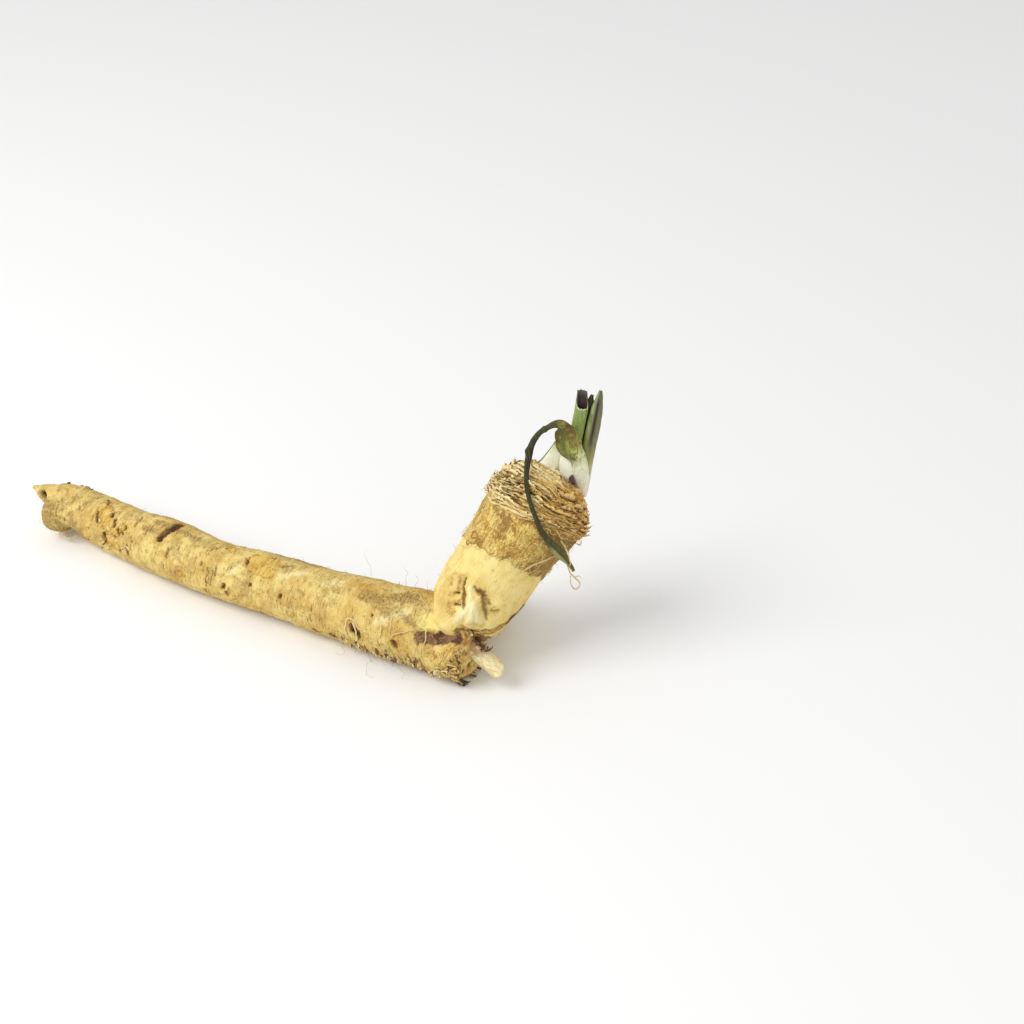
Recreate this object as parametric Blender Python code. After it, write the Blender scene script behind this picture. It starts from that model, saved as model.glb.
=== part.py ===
"""A horseradish root lying on a table, as dug and trimmed.

The thick old root lies along X. Its left end is snapped off, and its right end breaks off at a pale
stub. The crown grows out of the right end and leans up and back. It carries the scales that old leaves
left and a tuft of leaf stalks cut short, and one withered leaf arches over and hangs down its front.

Metres, +Z up. The design point (0, 0, 0) is on the table under the joint of root and crown. The
parent empty moves it by SHIFT, which puts the origin on the table under the middle of the whole.
"""

import math
import random
from bisect import bisect_right
from operator import itemgetter

import bmesh
import bpy
from mathutils import Vector, noise

SHIFT = Vector((0.0901, -0.0227, 0.0))

# The old root: x, y, how far its underside is above the table, and its radius.
SHAFT = (
    (-0.2272, -0.0122, 0.0024, 0.0118),
    (-0.2170, -0.0098, 0.0014, 0.0124),
    (-0.2000, -0.0075, -0.0004, 0.0129),
    (-0.1740, -0.0098, -0.0003, 0.0137),
    (-0.1480, -0.0115, 0.0006, 0.0149),
    (-0.1180, -0.0122, 0.0012, 0.0140),
    (-0.0820, -0.0092, 0.0010, 0.0151),
    (-0.0450, -0.0060, 0.0004, 0.0161),
    (-0.0150, -0.0030, -0.0005, 0.0179),
    (0.0080, 0.0000, -0.0006, 0.0178),
    (0.0205, -0.0008, -0.0004, 0.0163),
    (0.0300, -0.0020, 0.0004, 0.0134),
)
SHAFT_SIDES = 30
SHAFT_RINGS = 58
SHAFT_ENDS = 0.0014
SHAFT_LUMPS = 0.032

# Dimples and swellings of the old root: x, angle from the front downwards, length, spread, depth.
SHAFT_WOUNDS = (
    (-0.2125, 60, 0.0058, 42, 0.0062),
    (-0.2280, -58, 0.0040, 28, 0.0030),
    (-0.1985, -38, 0.0070, 24, 0.0013),
    (-0.1608, -53, 0.0042, 22, 0.0018),
    (-0.1160, -40, 0.0130, 30, 0.0010),
    (0.0150, -46, 0.0120, 13, 0.0022),
    (0.0330, 0, 0.0045, 30, 0.0026),
    (0.0220, 36, 0.0070, 30, -0.0018),
    (-0.2250, 20, 0.0060, 50, -0.0010),
)

# The crown: its foot, the way it leans, and how its middle line bends on the way up.
CROWN_FOOT = Vector((0.0200, 0.0180, 0.0320))
CROWN_LEAN = Vector((0.241, 0.600, 0.762)).normalized()
CROWN_BEND = Vector((0.0035, 0.0020, 0.0))
# Distance along the crown from its foot, and radius there.
CROWN_GIRTH = (
    (-0.0222, 0.0000),
    (-0.0217, 0.0060),
    (-0.0195, 0.0122),
    (-0.0145, 0.0175),
    (-0.0070, 0.0206),
    (0.0040, 0.0217),
    (0.0160, 0.0213),
    (0.0280, 0.0214),
    (0.0380, 0.0226),
    (0.0450, 0.0239),
    (0.0510, 0.0238),
    (0.0570, 0.0217),
    (0.0615, 0.0177),
    (0.0650, 0.0120),
    (0.0672, 0.0058),
    (0.0678, 0.0000),
)
CROWN_SIDES = 50
CROWN_RINGS_APART = 0.0025
CROWN_LUMPS = 0.026
CROWN_START, CROWN_TOP = CROWN_GIRTH[0][0], CROWN_GIRTH[-1][0]

# Folds and swellings of the crown, as for the old root, with the angle from the front to the right.
CROWN_FOLDS = (
    (-0.0010, 353, 0.0095, 8, 0.0022),
    (0.0015, 32, 0.0050, 9, 0.0032),
    (-0.0040, 42, 0.0060, 8, 0.0018),
    (0.0010, 52, 0.0030, 8, 0.0018),
    (-0.0060, 21, 0.0085, 12, -0.0016),
    (-0.0195, 359, 0.0070, 36, -0.0085),
    (-0.0070, 300, 0.0120, 30, 0.0016),
    (-0.0060, 96, 0.0150, 42, 0.0022),
    (0.0100, 178, 0.0090, 26, 0.0022),
    (-0.0020, 215, 0.0090, 20, -0.0018),
    (0.0300, 240, 0.0080, 24, 0.0012),
)

# The skin peels off below SKIN_FROM, and scales that old leaves left ring the crown above SCALES_FROM.
# Both are lengths along the outline. The rings tilt, and are low on the side of RING_LOW_ANGLE.
SKIN_FROM = 0.0228
SKIN_STEP = 0.0005
SKIN_EDGE = 0.0015
SCALES_FROM = 0.0462
SCALE_PITCH = 0.0036
SCALE_DEPTH = 0.0016
RING_TILT = 0.0034
RING_LOW_ANGLE = 275
RING_WANDER = 0.0026
TILT_FROM = 0.004
TILT_FULL = 0.018
# Each scale has three rings of points: how far up the scale, and how far out, as shares.
SCALE_SHAPE = ((0.05, -0.10), (0.50, 0.42), (0.96, 1.0))

# Thick side roots, trimmed: start, end, radius at each, sides, rings, and how far they sag.
HEEL = (Vector((0.0120, 0.0160, 0.0225)), Vector((0.0030, 0.0530, 0.0108)), 0.0158, 0.0124, 24, 8, 0.0012)
PALE_STUB = (Vector((0.0140, 0.0020, 0.0120)), Vector((0.0455, 0.0010, 0.0098)), 0.0062, 0.0043, 14, 6, 0.0)
BEAK = (Vector((-0.2230, -0.0085, 0.0170)), Vector((-0.2415, -0.0120, 0.0203)), 0.0062, 0.0011, 12, 5, 0.0)
# A side root starts to round off at this share of its length.
ROUND_FROM = 0.86

# Fine side roots, broken off short. Each group: how many, from x, to x, from angle, to angle.
STUB_GROUPS = (
    (15, -0.0640, -0.0020, 12, 54),
    (4, -0.1260, -0.1060, 14, 34),
    (4, -0.0900, -0.0100, 120, 165),
)
STUB_SEED = 4
STUB_ROOTED = 0.0022
STUB_LENGTH = (0.0010, 0.0026)
STUB_RADIUS = (0.0009, 0.0014)
STUB_LOWEST = 0.0016

# The tuft of leaves fans out across this direction, from the crown's top.
TUFT = Vector((0.0402, 0.0615, 0.0847))
ACROSS = Vector((0.838, 0.546, 0.0)).normalized()
OUTWARD = Vector((0.546, -0.838, 0.0)).normalized()
UP = Vector((0.0, 0.0, 1.0))

# The stalk in the middle, cut short: across, outward, up, half width and half depth.
MIDDLE_STALK = (
    (0.0004, -0.0016, -0.0070, 0.0022, 0.0022),
    (0.0012, -0.0014, 0.0010, 0.0026, 0.0025),
    (0.0032, -0.0012, 0.0080, 0.0036, 0.0027),
    (0.0058, -0.0010, 0.0200, 0.0033, 0.0028),
    (0.0074, -0.0012, 0.0290, 0.0031, 0.0028),
    (0.0086, -0.0014, 0.0350, 0.0030, 0.0027),
)
MIDDLE_WALL = 0.62
MIDDLE_HOLLOW = 0.0080
MIDDLE_BACK = 0.0085

# The longer stalk at the right, and how deep its channel is as a share of its radius.
RIGHT_STALK = (
    (0.0094, -0.0026, -0.0130, 0.0024, 0.0022, 0.00),
    (0.0102, -0.0024, -0.0040, 0.0030, 0.0025, 0.00),
    (0.0112, -0.0014, 0.0060, 0.0030, 0.0026, 0.05),
    (0.0124, -0.0004, 0.0160, 0.0031, 0.0026, 0.35),
    (0.0140, -0.0004, 0.0260, 0.0032, 0.0025, 0.58),
    (0.0156, -0.0008, 0.0360, 0.0025, 0.0021, 0.55),
    (0.0170, -0.0012, 0.0442, 0.0008, 0.0010, 0.10),
)
CHANNEL_SPREAD = 38

# The white leaf base at the left: up, its left edge, its right edge (each across, outward), its bulge.
SHEATH = (
    (-0.0010, -0.0128, -0.0006, -0.0034, 0.0044, 0.0014),
    (0.0055, -0.0124, 0.0000, -0.0016, 0.0042, 0.0018),
    (0.0095, -0.0098, 0.0006, 0.0008, 0.0040, 0.0016),
    (0.0145, -0.0066, 0.0012, 0.0014, 0.0038, 0.0012),
    (0.0190, -0.0042, 0.0018, 0.0006, 0.0036, 0.0006),
)
SHEATH_THICKNESS = 0.0013
SHEATH_POINTS = 7

# The withered leaf: across, outward, up, half width and half depth, from its base to its tip.
WITHERED = (
    (0.0086, 0.0030, -0.0095, 0.0022, 0.0015),
    (0.0090, 0.0044, -0.0010, 0.0028, 0.0017),
    (0.0086, 0.0058, 0.0050, 0.0032, 0.0018),
    (0.0066, 0.0068, 0.0105, 0.0044, 0.0019),
    (0.0038, 0.0072, 0.0150, 0.0056, 0.0019),
    (0.0020, 0.0073, 0.0192, 0.0061, 0.0020),
    (0.0010, 0.0070, 0.0236, 0.0052, 0.0020),
    (0.0004, 0.0065, 0.0270, 0.0040, 0.0020),
    (-0.0006, 0.0059, 0.0294, 0.0026, 0.0018),
    (-0.0030, 0.0052, 0.0304, 0.0019, 0.0016),
    (-0.0066, 0.0052, 0.0290, 0.0016, 0.0014),
    (-0.0112, 0.0070, 0.0268, 0.0016, 0.0014),
    (-0.0146, 0.0092, 0.0225, 0.0019, 0.0015),
    (-0.0164, 0.0120, 0.0165, 0.0020, 0.0015),
    (-0.0172, 0.0152, 0.0110, 0.0016, 0.0014),
    (-0.0174, 0.0190, 0.0070, 0.0015, 0.0013),
    (-0.0168, 0.0252, 0.0050, 0.0014, 0.0012),
    (-0.0150, 0.0302, 0.0010, 0.0014, 0.0012),
    (-0.0130, 0.0335, -0.0036, 0.0014, 0.0012),
    (-0.0108, 0.0348, -0.0090, 0.0015, 0.0012),
    (-0.0074, 0.0345, -0.0148, 0.0019, 0.0012),
    (-0.0044, 0.0336, -0.0195, 0.0030, 0.0011),
    (-0.0006, 0.0322, -0.0250, 0.0026, 0.0009),
    (0.0026, 0.0306, -0.0305, 0.0013, 0.0008),
    (0.0050, 0.0298, -0.0350, 0.0007, 0.0006),
)

# Clear space between a leaf's foot and the crown.
GAP = 0.00035
FRONT = Vector((0.0, -1.0, 0.0))
# Half the stretch over which a direction along a line is measured.
NEAR = 0.0005


def through(keys, t, column=1):
    """A smooth value at t through rows that start with t."""
    if t <= keys[0][0]:
        return keys[0][column]
    if t >= keys[-1][0]:
        return keys[-1][column]
    i = min(bisect_right(keys, t, key=itemgetter(0)), len(keys) - 1) - 1
    here, there = keys[i], keys[i + 1]
    slopes = []
    for k in (i, i + 1):
        before, after = keys[max(k - 1, 0)], keys[min(k + 1, len(keys) - 1)]
        slopes.append((after[column] - before[column]) / (after[0] - before[0]))
    span = there[0] - here[0]
    u = (t - here[0]) / span
    return (
        here[column] * (1 + 2 * u) * (1 - u) ** 2
        + slopes[0] * span * u * (1 - u) ** 2
        + there[column] * u * u * (3 - 2 * u)
        - slopes[1] * span * u * u * (1 - u)
    )


def marks(table, along, around):
    """How much the dimples of a table take off the radius at one place."""
    total = 0.0
    for centre, angle, length, spread, depth in table:
        turn = (math.degrees(around) - angle + 180) % 360 - 180
        total += depth * math.exp(-(((along - centre) / length) ** 2) - (turn / spread) ** 2)
    return total


def uneven(place):
    """Lumps of two sizes, between about -1 and 1."""
    return noise.noise(place) + 0.5 * noise.noise(place * 2.5)


def ramp(value, low, high):
    """0 below low, 1 above high, and straight between."""
    return min(max((value - low) / (high - low), 0.0), 1.0)


def ring_at(centre, tangent, reach, sides, facing=FRONT):
    """Points round a centre. Angle 0 faces the given way, and reach(angle) is how far out a point is."""
    first = (facing - tangent * facing.dot(tangent)).normalized()
    second = tangent.cross(first)
    ring = []
    for k in range(sides):
        angle = math.tau * k / sides
        ring.append(centre + (first * math.cos(angle) + second * math.sin(angle)) * reach(angle))
    return ring


def skin(name, rings, tips=(None, None)):
    """A closed body through rings of points. A tip closes its end in a point, and None closes it flat."""
    bm = bmesh.new()
    rows = [[bm.verts.new(p) for p in ring] for ring in rings]
    count = len(rows[0])
    for lower, upper in zip(rows, rows[1:]):
        for k in range(count):
            n = (k + 1) % count
            bm.faces.new((lower[k], lower[n], upper[n]))
            bm.faces.new((lower[k], upper[n], upper[k]))
    for row, tip, step in ((rows[0], tips[0], -1), (rows[-1], tips[1], 1)):
        if tip is None:
            bm.faces.new(row[::step])
            continue
        pole = bm.verts.new(tip)
        for k in range(count):
            bm.faces.new((*(row[k], row[(k + 1) % count])[::step], pole))
    bmesh.ops.recalc_face_normals(bm, faces=bm.faces)
    mesh = bpy.data.meshes.new(name)
    bm.to_mesh(mesh)
    bm.free()
    body = bpy.data.objects.new(name, mesh)
    bpy.context.scene.collection.objects.link(body)
    return body


def write_modifiers(body):
    """Puts a body's modifiers into its mesh."""
    bpy.context.view_layer.update()
    graph = bpy.context.evaluated_depsgraph_get()
    mesh = bpy.data.meshes.new_from_object(body.evaluated_get(graph))
    body.modifiers.clear()
    body.data = mesh


def join(body, others):
    """Makes one solid of a body and the others, which it removes."""
    collection = bpy.data.collections.new("joined")
    bpy.context.scene.collection.children.link(collection)
    for other in others:
        bpy.context.scene.collection.objects.unlink(other)
        collection.objects.link(other)
    union = body.modifiers.new("union", "BOOLEAN")
    union.operation = "UNION"
    union.operand_type = "COLLECTION"
    union.collection = collection
    write_modifiers(body)
    for other in others:
        bpy.data.objects.remove(other)
    bpy.data.collections.remove(collection)


def cut(body, cutter):
    """Takes a cutter out of a body, and keeps the cutter."""
    difference = body.modifiers.new("cut", "BOOLEAN")
    difference.operation = "DIFFERENCE"
    difference.object = cutter
    write_modifiers(body)


def shaft_line(s):
    """The old root's middle at x = s."""
    return Vector((s, through(SHAFT, s), through(SHAFT, s, 2) + through(SHAFT, s, 3)))


def shaft_reach(s, angle):
    """The old root's skin: of uneven girth, with lumps and old wounds."""
    place = Vector((s * 55, math.cos(angle) * 0.8, math.sin(angle) * 0.8))
    return through(SHAFT, s, 3) * (1 + SHAFT_LUMPS * uneven(place)) - marks(SHAFT_WOUNDS, s, angle)


def shaft_body():
    """The old root alone. Both ends are rounded at the rim."""
    first, last = SHAFT[0][0], SHAFT[-1][0]
    rings = []
    for k in range(-1, SHAFT_RINGS + 2):
        s = first + (last - first) * k / SHAFT_RINGS
        inside = 0 <= k <= SHAFT_RINGS
        s = s if inside else min(max(s, first - SHAFT_ENDS), last + SHAFT_ENDS)
        tangent = (shaft_line(s + NEAR) - shaft_line(s - NEAR)).normalized()
        ease = 1.0 if inside else 0.80
        rings.append(ring_at(shaft_line(s), tangent, lambda a: ease * shaft_reach(s, a), SHAFT_SIDES))
    tips = (
        shaft_line(first) - Vector((SHAFT_ENDS * 0.6, 0, 0)),
        shaft_line(last) + Vector((SHAFT_ENDS * 1.8, 0, 0)),
    )
    return skin("root", rings, tips)


def crown_line(s):
    """The crown's middle, s from its foot."""
    t = max(s, 0.0) / CROWN_TOP
    return CROWN_FOOT + CROWN_LEAN * s + CROWN_BEND * t * t


def crown_outline():
    """Rows of length along the crown's outline, distance up its middle line, and radius."""
    rows = []
    steps = 300
    for k in range(steps + 1):
        share = (1 - math.cos(math.pi * k / steps)) / 2
        s = CROWN_START + (CROWN_TOP - CROWN_START) * share
        radius = through(CROWN_GIRTH, s)
        length = rows[-1][0] + math.hypot(s - rows[-1][1], radius - rows[-1][2]) if rows else 0.0
        rows.append((length, s, radius))
    neck = next(row for row in rows if row[1] >= 0.0)
    return [(length - neck[0] + neck[1], s, radius) for length, s, radius in rows]


OUTLINE = crown_outline()
WIDEST = max(row[2] for row in OUTLINE)


def tilted(length, angle):
    """Where a ring that is level at a length really runs. The rings tilt and wander above the foot."""
    start = ramp(length, TILT_FROM, TILT_FULL)
    small = through(OUTLINE, length, 2) / WIDEST
    tilt = RING_TILT * math.cos(angle - math.radians(RING_LOW_ANGLE))
    place = Vector((math.cos(angle) * 1.5, math.sin(angle) * 1.5, length * 70))
    return length - start * small * (tilt - RING_WANDER * noise.noise(place))


def crown_point(length, angle, rise, margin):
    """A point of the crown's skin: a fat folded foot, a smooth neck, peeling skin, then the scales."""
    along = tilted(length, angle)
    s, radius = through(OUTLINE, along, 1), through(OUTLINE, along, 2)
    climb = through(OUTLINE, along + NEAR, 1) - through(OUTLINE, along - NEAR, 1)
    widen = through(OUTLINE, along + NEAR, 2) - through(OUTLINE, along - NEAR, 2)
    tangent = (crown_line(s + NEAR) - crown_line(s - NEAR)).normalized()
    first = (FRONT - tangent * FRONT.dot(tangent)).normalized()
    away = first * math.cos(angle) + tangent.cross(first) * math.sin(angle)
    normal = (away * climb - tangent * widen).normalized()
    place = Vector((math.cos(angle) * 0.9, math.sin(angle) * 0.9, s * 45))
    radius = radius * (1 + CROWN_LUMPS * uneven(place)) - marks(CROWN_FOLDS, s, angle)
    radius = max(radius, NEAR)
    peel = SKIN_STEP * ramp(length, SKIN_FROM, SKIN_FROM + SKIN_EDGE)
    return crown_line(s) + away * radius + normal * (peel + rise + margin)


def scale_rise(row, angle, share):
    """How far a scale stands out. Its torn edge is uneven."""
    place = Vector((math.cos(angle) * 3.2, math.sin(angle) * 3.2, row * 5))
    return SCALE_DEPTH * share * (0.85 + 0.95 * noise.noise(place))


def crown_body(name, margin=0.0):
    """The crown alone, or with a margin as the room that it takes up."""
    angles = [math.tau * k / CROWN_SIDES for k in range(CROWN_SIDES)]
    rings = []
    length = OUTLINE[0][0] + CROWN_RINGS_APART / 2
    while length < SCALES_FROM - CROWN_RINGS_APART / 3:
        rings.append([crown_point(length, a, 0.0, margin) for a in angles])
        length += CROWN_RINGS_APART
    row = 0
    while SCALES_FROM + row * SCALE_PITCH < OUTLINE[-1][0] - SCALE_PITCH:
        for up, out in SCALE_SHAPE:
            length = SCALES_FROM + (row + up) * SCALE_PITCH
            rings.append([crown_point(length, a, scale_rise(row, a, out), margin) for a in angles])
        row += 1
    ends = (CROWN_START - margin, CROWN_TOP + margin)
    return skin(name, rings, [crown_line(s) for s in ends])


def side_root(name, start, end, first_radius, last_radius, sides, steps, sag):
    """A side root cut off bluntly. It bows down by sag on its way."""
    blunt_end = 1.01 - ROUND_FROM
    along = [ROUND_FROM * k / steps for k in range(steps + 1)]
    along += [ROUND_FROM + blunt_end * share for share in (0.5, 0.8)]

    def line(u):
        return start.lerp(end, u) - UP * (sag * 4 * u * (1 - u))

    rings = []
    for u in along:
        tangent = (line(u + 0.01) - line(u - 0.01)).normalized()
        blunt = math.sqrt(1 - (max(u - ROUND_FROM, 0.0) / blunt_end) ** 2)
        radius = (first_radius + (last_radius - first_radius) * u) * blunt
        grain = lambda a: radius * (1 + 0.10 * noise.noise(Vector((math.cos(a), math.sin(a), u * 4)) * 1.5))
        rings.append(ring_at(line(u), tangent, grain, sides))
    return skin(name, rings, (line(-0.02), line(1.0)))


def broken_stubs():
    """Stumps of fine side roots, most of them low on the front near the crown."""
    draw = random.Random(STUB_SEED)
    stubs = []
    for count, first, last, low, high in STUB_GROUPS:
        for k in range(count):
            s = first + (last - first) * (k + draw.uniform(0.1, 0.9)) / count
            angle = math.radians(draw.uniform(low, high))
            out = FRONT * math.cos(angle) - UP * math.sin(angle)
            lean = (out + Vector((draw.uniform(-0.8, 0.8), 0, draw.uniform(-0.1, 0.3)))).normalized()
            start = shaft_line(s) + out * (shaft_reach(s, angle) - STUB_ROOTED)
            end = start + lean * (STUB_ROOTED + draw.uniform(*STUB_LENGTH))
            radius = draw.uniform(*STUB_RADIUS)
            if end.z > STUB_LOWEST:
                stubs.append(side_root("stub", start, end, radius * 1.3, radius, 6, 1, 0.0))
    return stubs


def stand_on_table(body):
    """Trims what lies under the table's surface, which leaves flat spots to rest on."""
    bm = bmesh.new()
    bm.from_mesh(body.data)
    everything = [*bm.verts, *bm.edges, *bm.faces]
    trimmed = bmesh.ops.bisect_plane(
        bm,
        geom=everything,
        plane_co=(0, 0, 0),
        plane_no=(0, 0, -1),
        clear_outer=True,
    )
    rim = [e for e in trimmed["geom_cut"] if isinstance(e, bmesh.types.BMEdge)]
    bmesh.ops.holes_fill(bm, edges=rim)
    bmesh.ops.recalc_face_normals(bm, faces=bm.faces)
    bm.to_mesh(body.data)
    bm.free()


def build_root():
    """The whole grown root in one solid: old root, crown, side roots and torn end."""
    root = shaft_body()
    thick = [side_root("heel", *HEEL), side_root("pale", *PALE_STUB), side_root("beak", *BEAK)]
    join(root, [crown_body("crown"), *thick, *broken_stubs()])
    stand_on_table(root)
    return root


def in_tuft(across, outward, up):
    """A point of the tuft, in metres from its foot at the crown's top."""
    return TUFT + ACROSS * across + OUTWARD * outward + UP * up


def stalk_rings(rows, sides, stations):
    """Rings along a stalk given by rows of places and half widths. A sixth column is its channel."""
    keys = [(float(k), *row) for k, row in enumerate(rows)]

    def at(t, column):
        return through(keys, t, column)

    def line(t):
        return in_tuft(at(t, 1), at(t, 2), at(t, 3))

    rings = []
    for t in stations:
        tangent = (line(t + 0.02) - line(t - 0.02)).normalized()
        wide, deep = at(t, 4), at(t, 5)
        channel = at(t, 6) if len(rows[0]) > 5 else 0.0

        def reach(angle):
            oval = 1 / math.hypot(math.sin(angle) / wide, math.cos(angle) / deep)
            turn = (math.degrees(angle) + 180) % 360 - 180
            return oval * (1 - channel * math.exp(-((turn / CHANNEL_SPREAD) ** 2)))

        rings.append(ring_at(line(t), tangent, reach, sides, OUTWARD))
    return rings


def middle_stalk():
    """A green stalk cut off square, hollow at the cut, with its back wall left standing."""
    top = len(MIDDLE_STALK) - 1
    outer = stalk_rings(MIDDLE_STALK, 16, [top * k / 13 for k in range(14)])
    for share, ring in zip((0.25, 0.6, 1.0), outer[-3:]):
        for k, point in enumerate(ring):
            back = min(max(-1.7 * math.cos(math.tau * k / len(ring)), 0.0), 1.0)
            ring[k] = point + UP * (MIDDLE_BACK * share * back)
    inner = []
    for depth, size in ((0.0, MIDDLE_WALL), (0.5, MIDDLE_WALL * 0.9), (1.0, MIDDLE_WALL * 0.5)):
        middle = sum(outer[-1], Vector()) / len(outer[-1])
        inner.append([middle.lerp(p, size) - UP * (MIDDLE_HOLLOW * depth) for p in outer[-1]])
    return skin("leaf_stalk_middle", outer + inner)


def right_stalk():
    """A grey-green stalk with a channel down its front, torn off to a point."""
    top = len(RIGHT_STALK) - 1
    return skin("leaf_stalk_right", stalk_rings(RIGHT_STALK, 14, [top * k / 20 for k in range(21)]))


def leaf_sheath():
    """The white base of an outer leaf, a curved plate that clasps the foot of the tuft."""
    keys = [(float(k), *row) for k, row in enumerate(SHEATH)]
    steps = 12
    rings = []
    for j in range(steps + 1):
        t = (len(SHEATH) - 1) * j / steps
        up, left_across, left_out, right_across, right_out, bulge = (
            through(keys, t, column) for column in range(1, 7)
        )
        left, right = in_tuft(left_across, left_out, up), in_tuft(right_across, right_out, up)
        away = (right - left).cross(UP).normalized()
        face, back = [], []
        for k in range(SHEATH_POINTS):
            share = k / (SHEATH_POINTS - 1)
            point = left.lerp(right, share) + away * (bulge * 4 * share * (1 - share))
            face.append(point)
            back.append(point - away * SHEATH_THICKNESS * (0.55 + 0.45 * math.sin(math.pi * share)))
        rings.append(face + back[::-1])
    return skin("leaf_sheath", rings)


def withered_leaf():
    """A leaf that wilted: its broad base folds over like a hood, and its stalk hangs down the front."""
    top = len(WITHERED) - 1
    return skin("withered_leaf", stalk_rings(WITHERED, 12, [top * k / 62 for k in range(63)]))


def paint(body, name, colour, roughness):
    """Gives a body a plain material and smooth shading."""
    material = bpy.data.materials.new(name)
    material.use_nodes = True
    shader = material.node_tree.nodes["Principled BSDF"]
    shader.inputs["Base Color"].default_value = (*colour, 1.0)
    shader.inputs["Roughness"].default_value = roughness
    shader.inputs["Metallic"].default_value = 0.0
    body.data.materials.clear()
    body.data.materials.append(material)
    body.data.shade_smooth()
    body.data.set_sharp_from_angle(angle=math.radians(50))


def main():
    for old in list(bpy.data.objects):
        bpy.data.objects.remove(old)
    root = build_root()
    leaves = [leaf_sheath(), middle_stalk(), right_stalk(), withered_leaf()]
    room = crown_body("room_of_crown", GAP)
    for leaf in leaves:
        cut(leaf, room)
    bpy.data.objects.remove(room)
    paint(root, "root_skin", (0.66, 0.50, 0.22), 0.75)
    paint(leaves[0], "white_leaf_base", (0.82, 0.80, 0.62), 0.5)
    paint(leaves[1], "green_stalk", (0.30, 0.42, 0.10), 0.5)
    paint(leaves[2], "grey_green_stalk", (0.28, 0.32, 0.16), 0.55)
    paint(leaves[3], "withered_leaf", (0.12, 0.12, 0.05), 0.7)
    plant = bpy.data.objects.new("horseradish", None)
    bpy.context.scene.collection.objects.link(plant)
    plant.location = SHIFT
    for body in (root, *leaves):
        body.parent = plant


main()
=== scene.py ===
"""A dug horseradish root with a thick crown and a tuft of cut leaves, dressed for its picture.

The sections follow the plant from the old root to the crown, the leaves and the finest root hairs. The
surface it lies on, the light and the camera come last. Metres, +Z up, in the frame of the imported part.
"""

import itertools
import math
import random

import bpy
import numpy as np
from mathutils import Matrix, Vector, noise


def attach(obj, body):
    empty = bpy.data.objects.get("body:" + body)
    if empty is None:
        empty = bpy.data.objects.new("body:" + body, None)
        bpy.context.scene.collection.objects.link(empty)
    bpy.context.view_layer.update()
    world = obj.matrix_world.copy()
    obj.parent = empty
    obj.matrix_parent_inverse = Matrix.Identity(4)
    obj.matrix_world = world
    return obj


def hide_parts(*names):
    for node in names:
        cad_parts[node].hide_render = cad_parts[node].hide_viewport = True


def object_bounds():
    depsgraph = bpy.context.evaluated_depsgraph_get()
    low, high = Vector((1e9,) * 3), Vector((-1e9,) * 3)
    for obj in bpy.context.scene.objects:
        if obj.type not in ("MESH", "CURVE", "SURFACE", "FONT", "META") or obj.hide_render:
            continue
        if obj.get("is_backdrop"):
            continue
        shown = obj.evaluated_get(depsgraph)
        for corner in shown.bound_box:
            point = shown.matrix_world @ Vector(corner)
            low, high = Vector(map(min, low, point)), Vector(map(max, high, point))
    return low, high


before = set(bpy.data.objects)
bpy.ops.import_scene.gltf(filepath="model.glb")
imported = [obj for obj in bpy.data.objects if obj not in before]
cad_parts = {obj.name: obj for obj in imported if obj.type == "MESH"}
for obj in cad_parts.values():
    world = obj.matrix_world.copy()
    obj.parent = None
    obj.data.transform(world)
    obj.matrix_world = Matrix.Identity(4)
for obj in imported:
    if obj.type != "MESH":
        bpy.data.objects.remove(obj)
CAD_LOW, CAD_HIGH = (np.array(corner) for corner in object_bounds())

# The old root: a long fleshy root under a thin cork skin, dug and washed. It grew in one piece with the
# crown. Its left end snapped off in the digging, and its right end is torn back to the bare flesh.
# Places here are measured from under the joint of old root and crown. SHIFT takes them to the part's frame.
SHIFT = np.array((0.0901, -0.0227, 0.0))
MM = 0.001
# The step over which directions are measured.
NEAR = 0.0005
FRONT = np.array((0.0, -1.0, 0.0))
UP = np.array((0.0, 0.0, 1.0))
# The old root: x, y, how far its underside is above the table, and its radius.
SHAFT = np.array(
    (
        (-0.2272, -0.0122, 0.0025, 0.0124),
        (-0.2170, -0.0098, 0.0015, 0.0130),
        (-0.2000, -0.0075, -0.0004, 0.0132),
        (-0.1740, -0.0098, -0.0003, 0.0137),
        (-0.1480, -0.0115, 0.0006, 0.0149),
        (-0.1180, -0.0122, 0.0012, 0.0140),
        (-0.0820, -0.0092, 0.0010, 0.0151),
        (-0.0450, -0.0060, 0.0004, 0.0161),
        (-0.0150, -0.0030, -0.0005, 0.0179),
        (0.0080, 0.0000, -0.0006, 0.0178),
        (0.0205, -0.0008, -0.0004, 0.0163),
        (0.0300, -0.0020, 0.0004, 0.0134),
    )
)
SHAFT_SIDES, SHAFT_COUNT = 96, 200
SHAFT_ENDS, SHAFT_END_SHARE = 0.0014, 0.80
SHAFT_LUMPS = 0.032
# Its usual radius, by which turns round it become lengths.
SHAFT_RADIUS = 0.0148
# Dimples and swellings: x, angle from the front downwards, length, spread, depth.
SHAFT_WOUNDS = (
    (-0.2125, 60, 0.0058, 42, 0.0062),
    (-0.2280, -58, 0.0040, 28, 0.0012),
    (-0.1985, -38, 0.0070, 24, 0.0013),
    (-0.1608, -53, 0.0042, 22, 0.0018),
    (-0.1160, -40, 0.0130, 30, 0.0010),
    (0.0150, -46, 0.0120, 13, 0.0022),
    (0.0330, 0, 0.0045, 30, 0.0026),
    (0.0220, 36, 0.0070, 30, -0.0018),
    (-0.2250, 20, 0.0060, 50, -0.0010),
)
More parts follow.
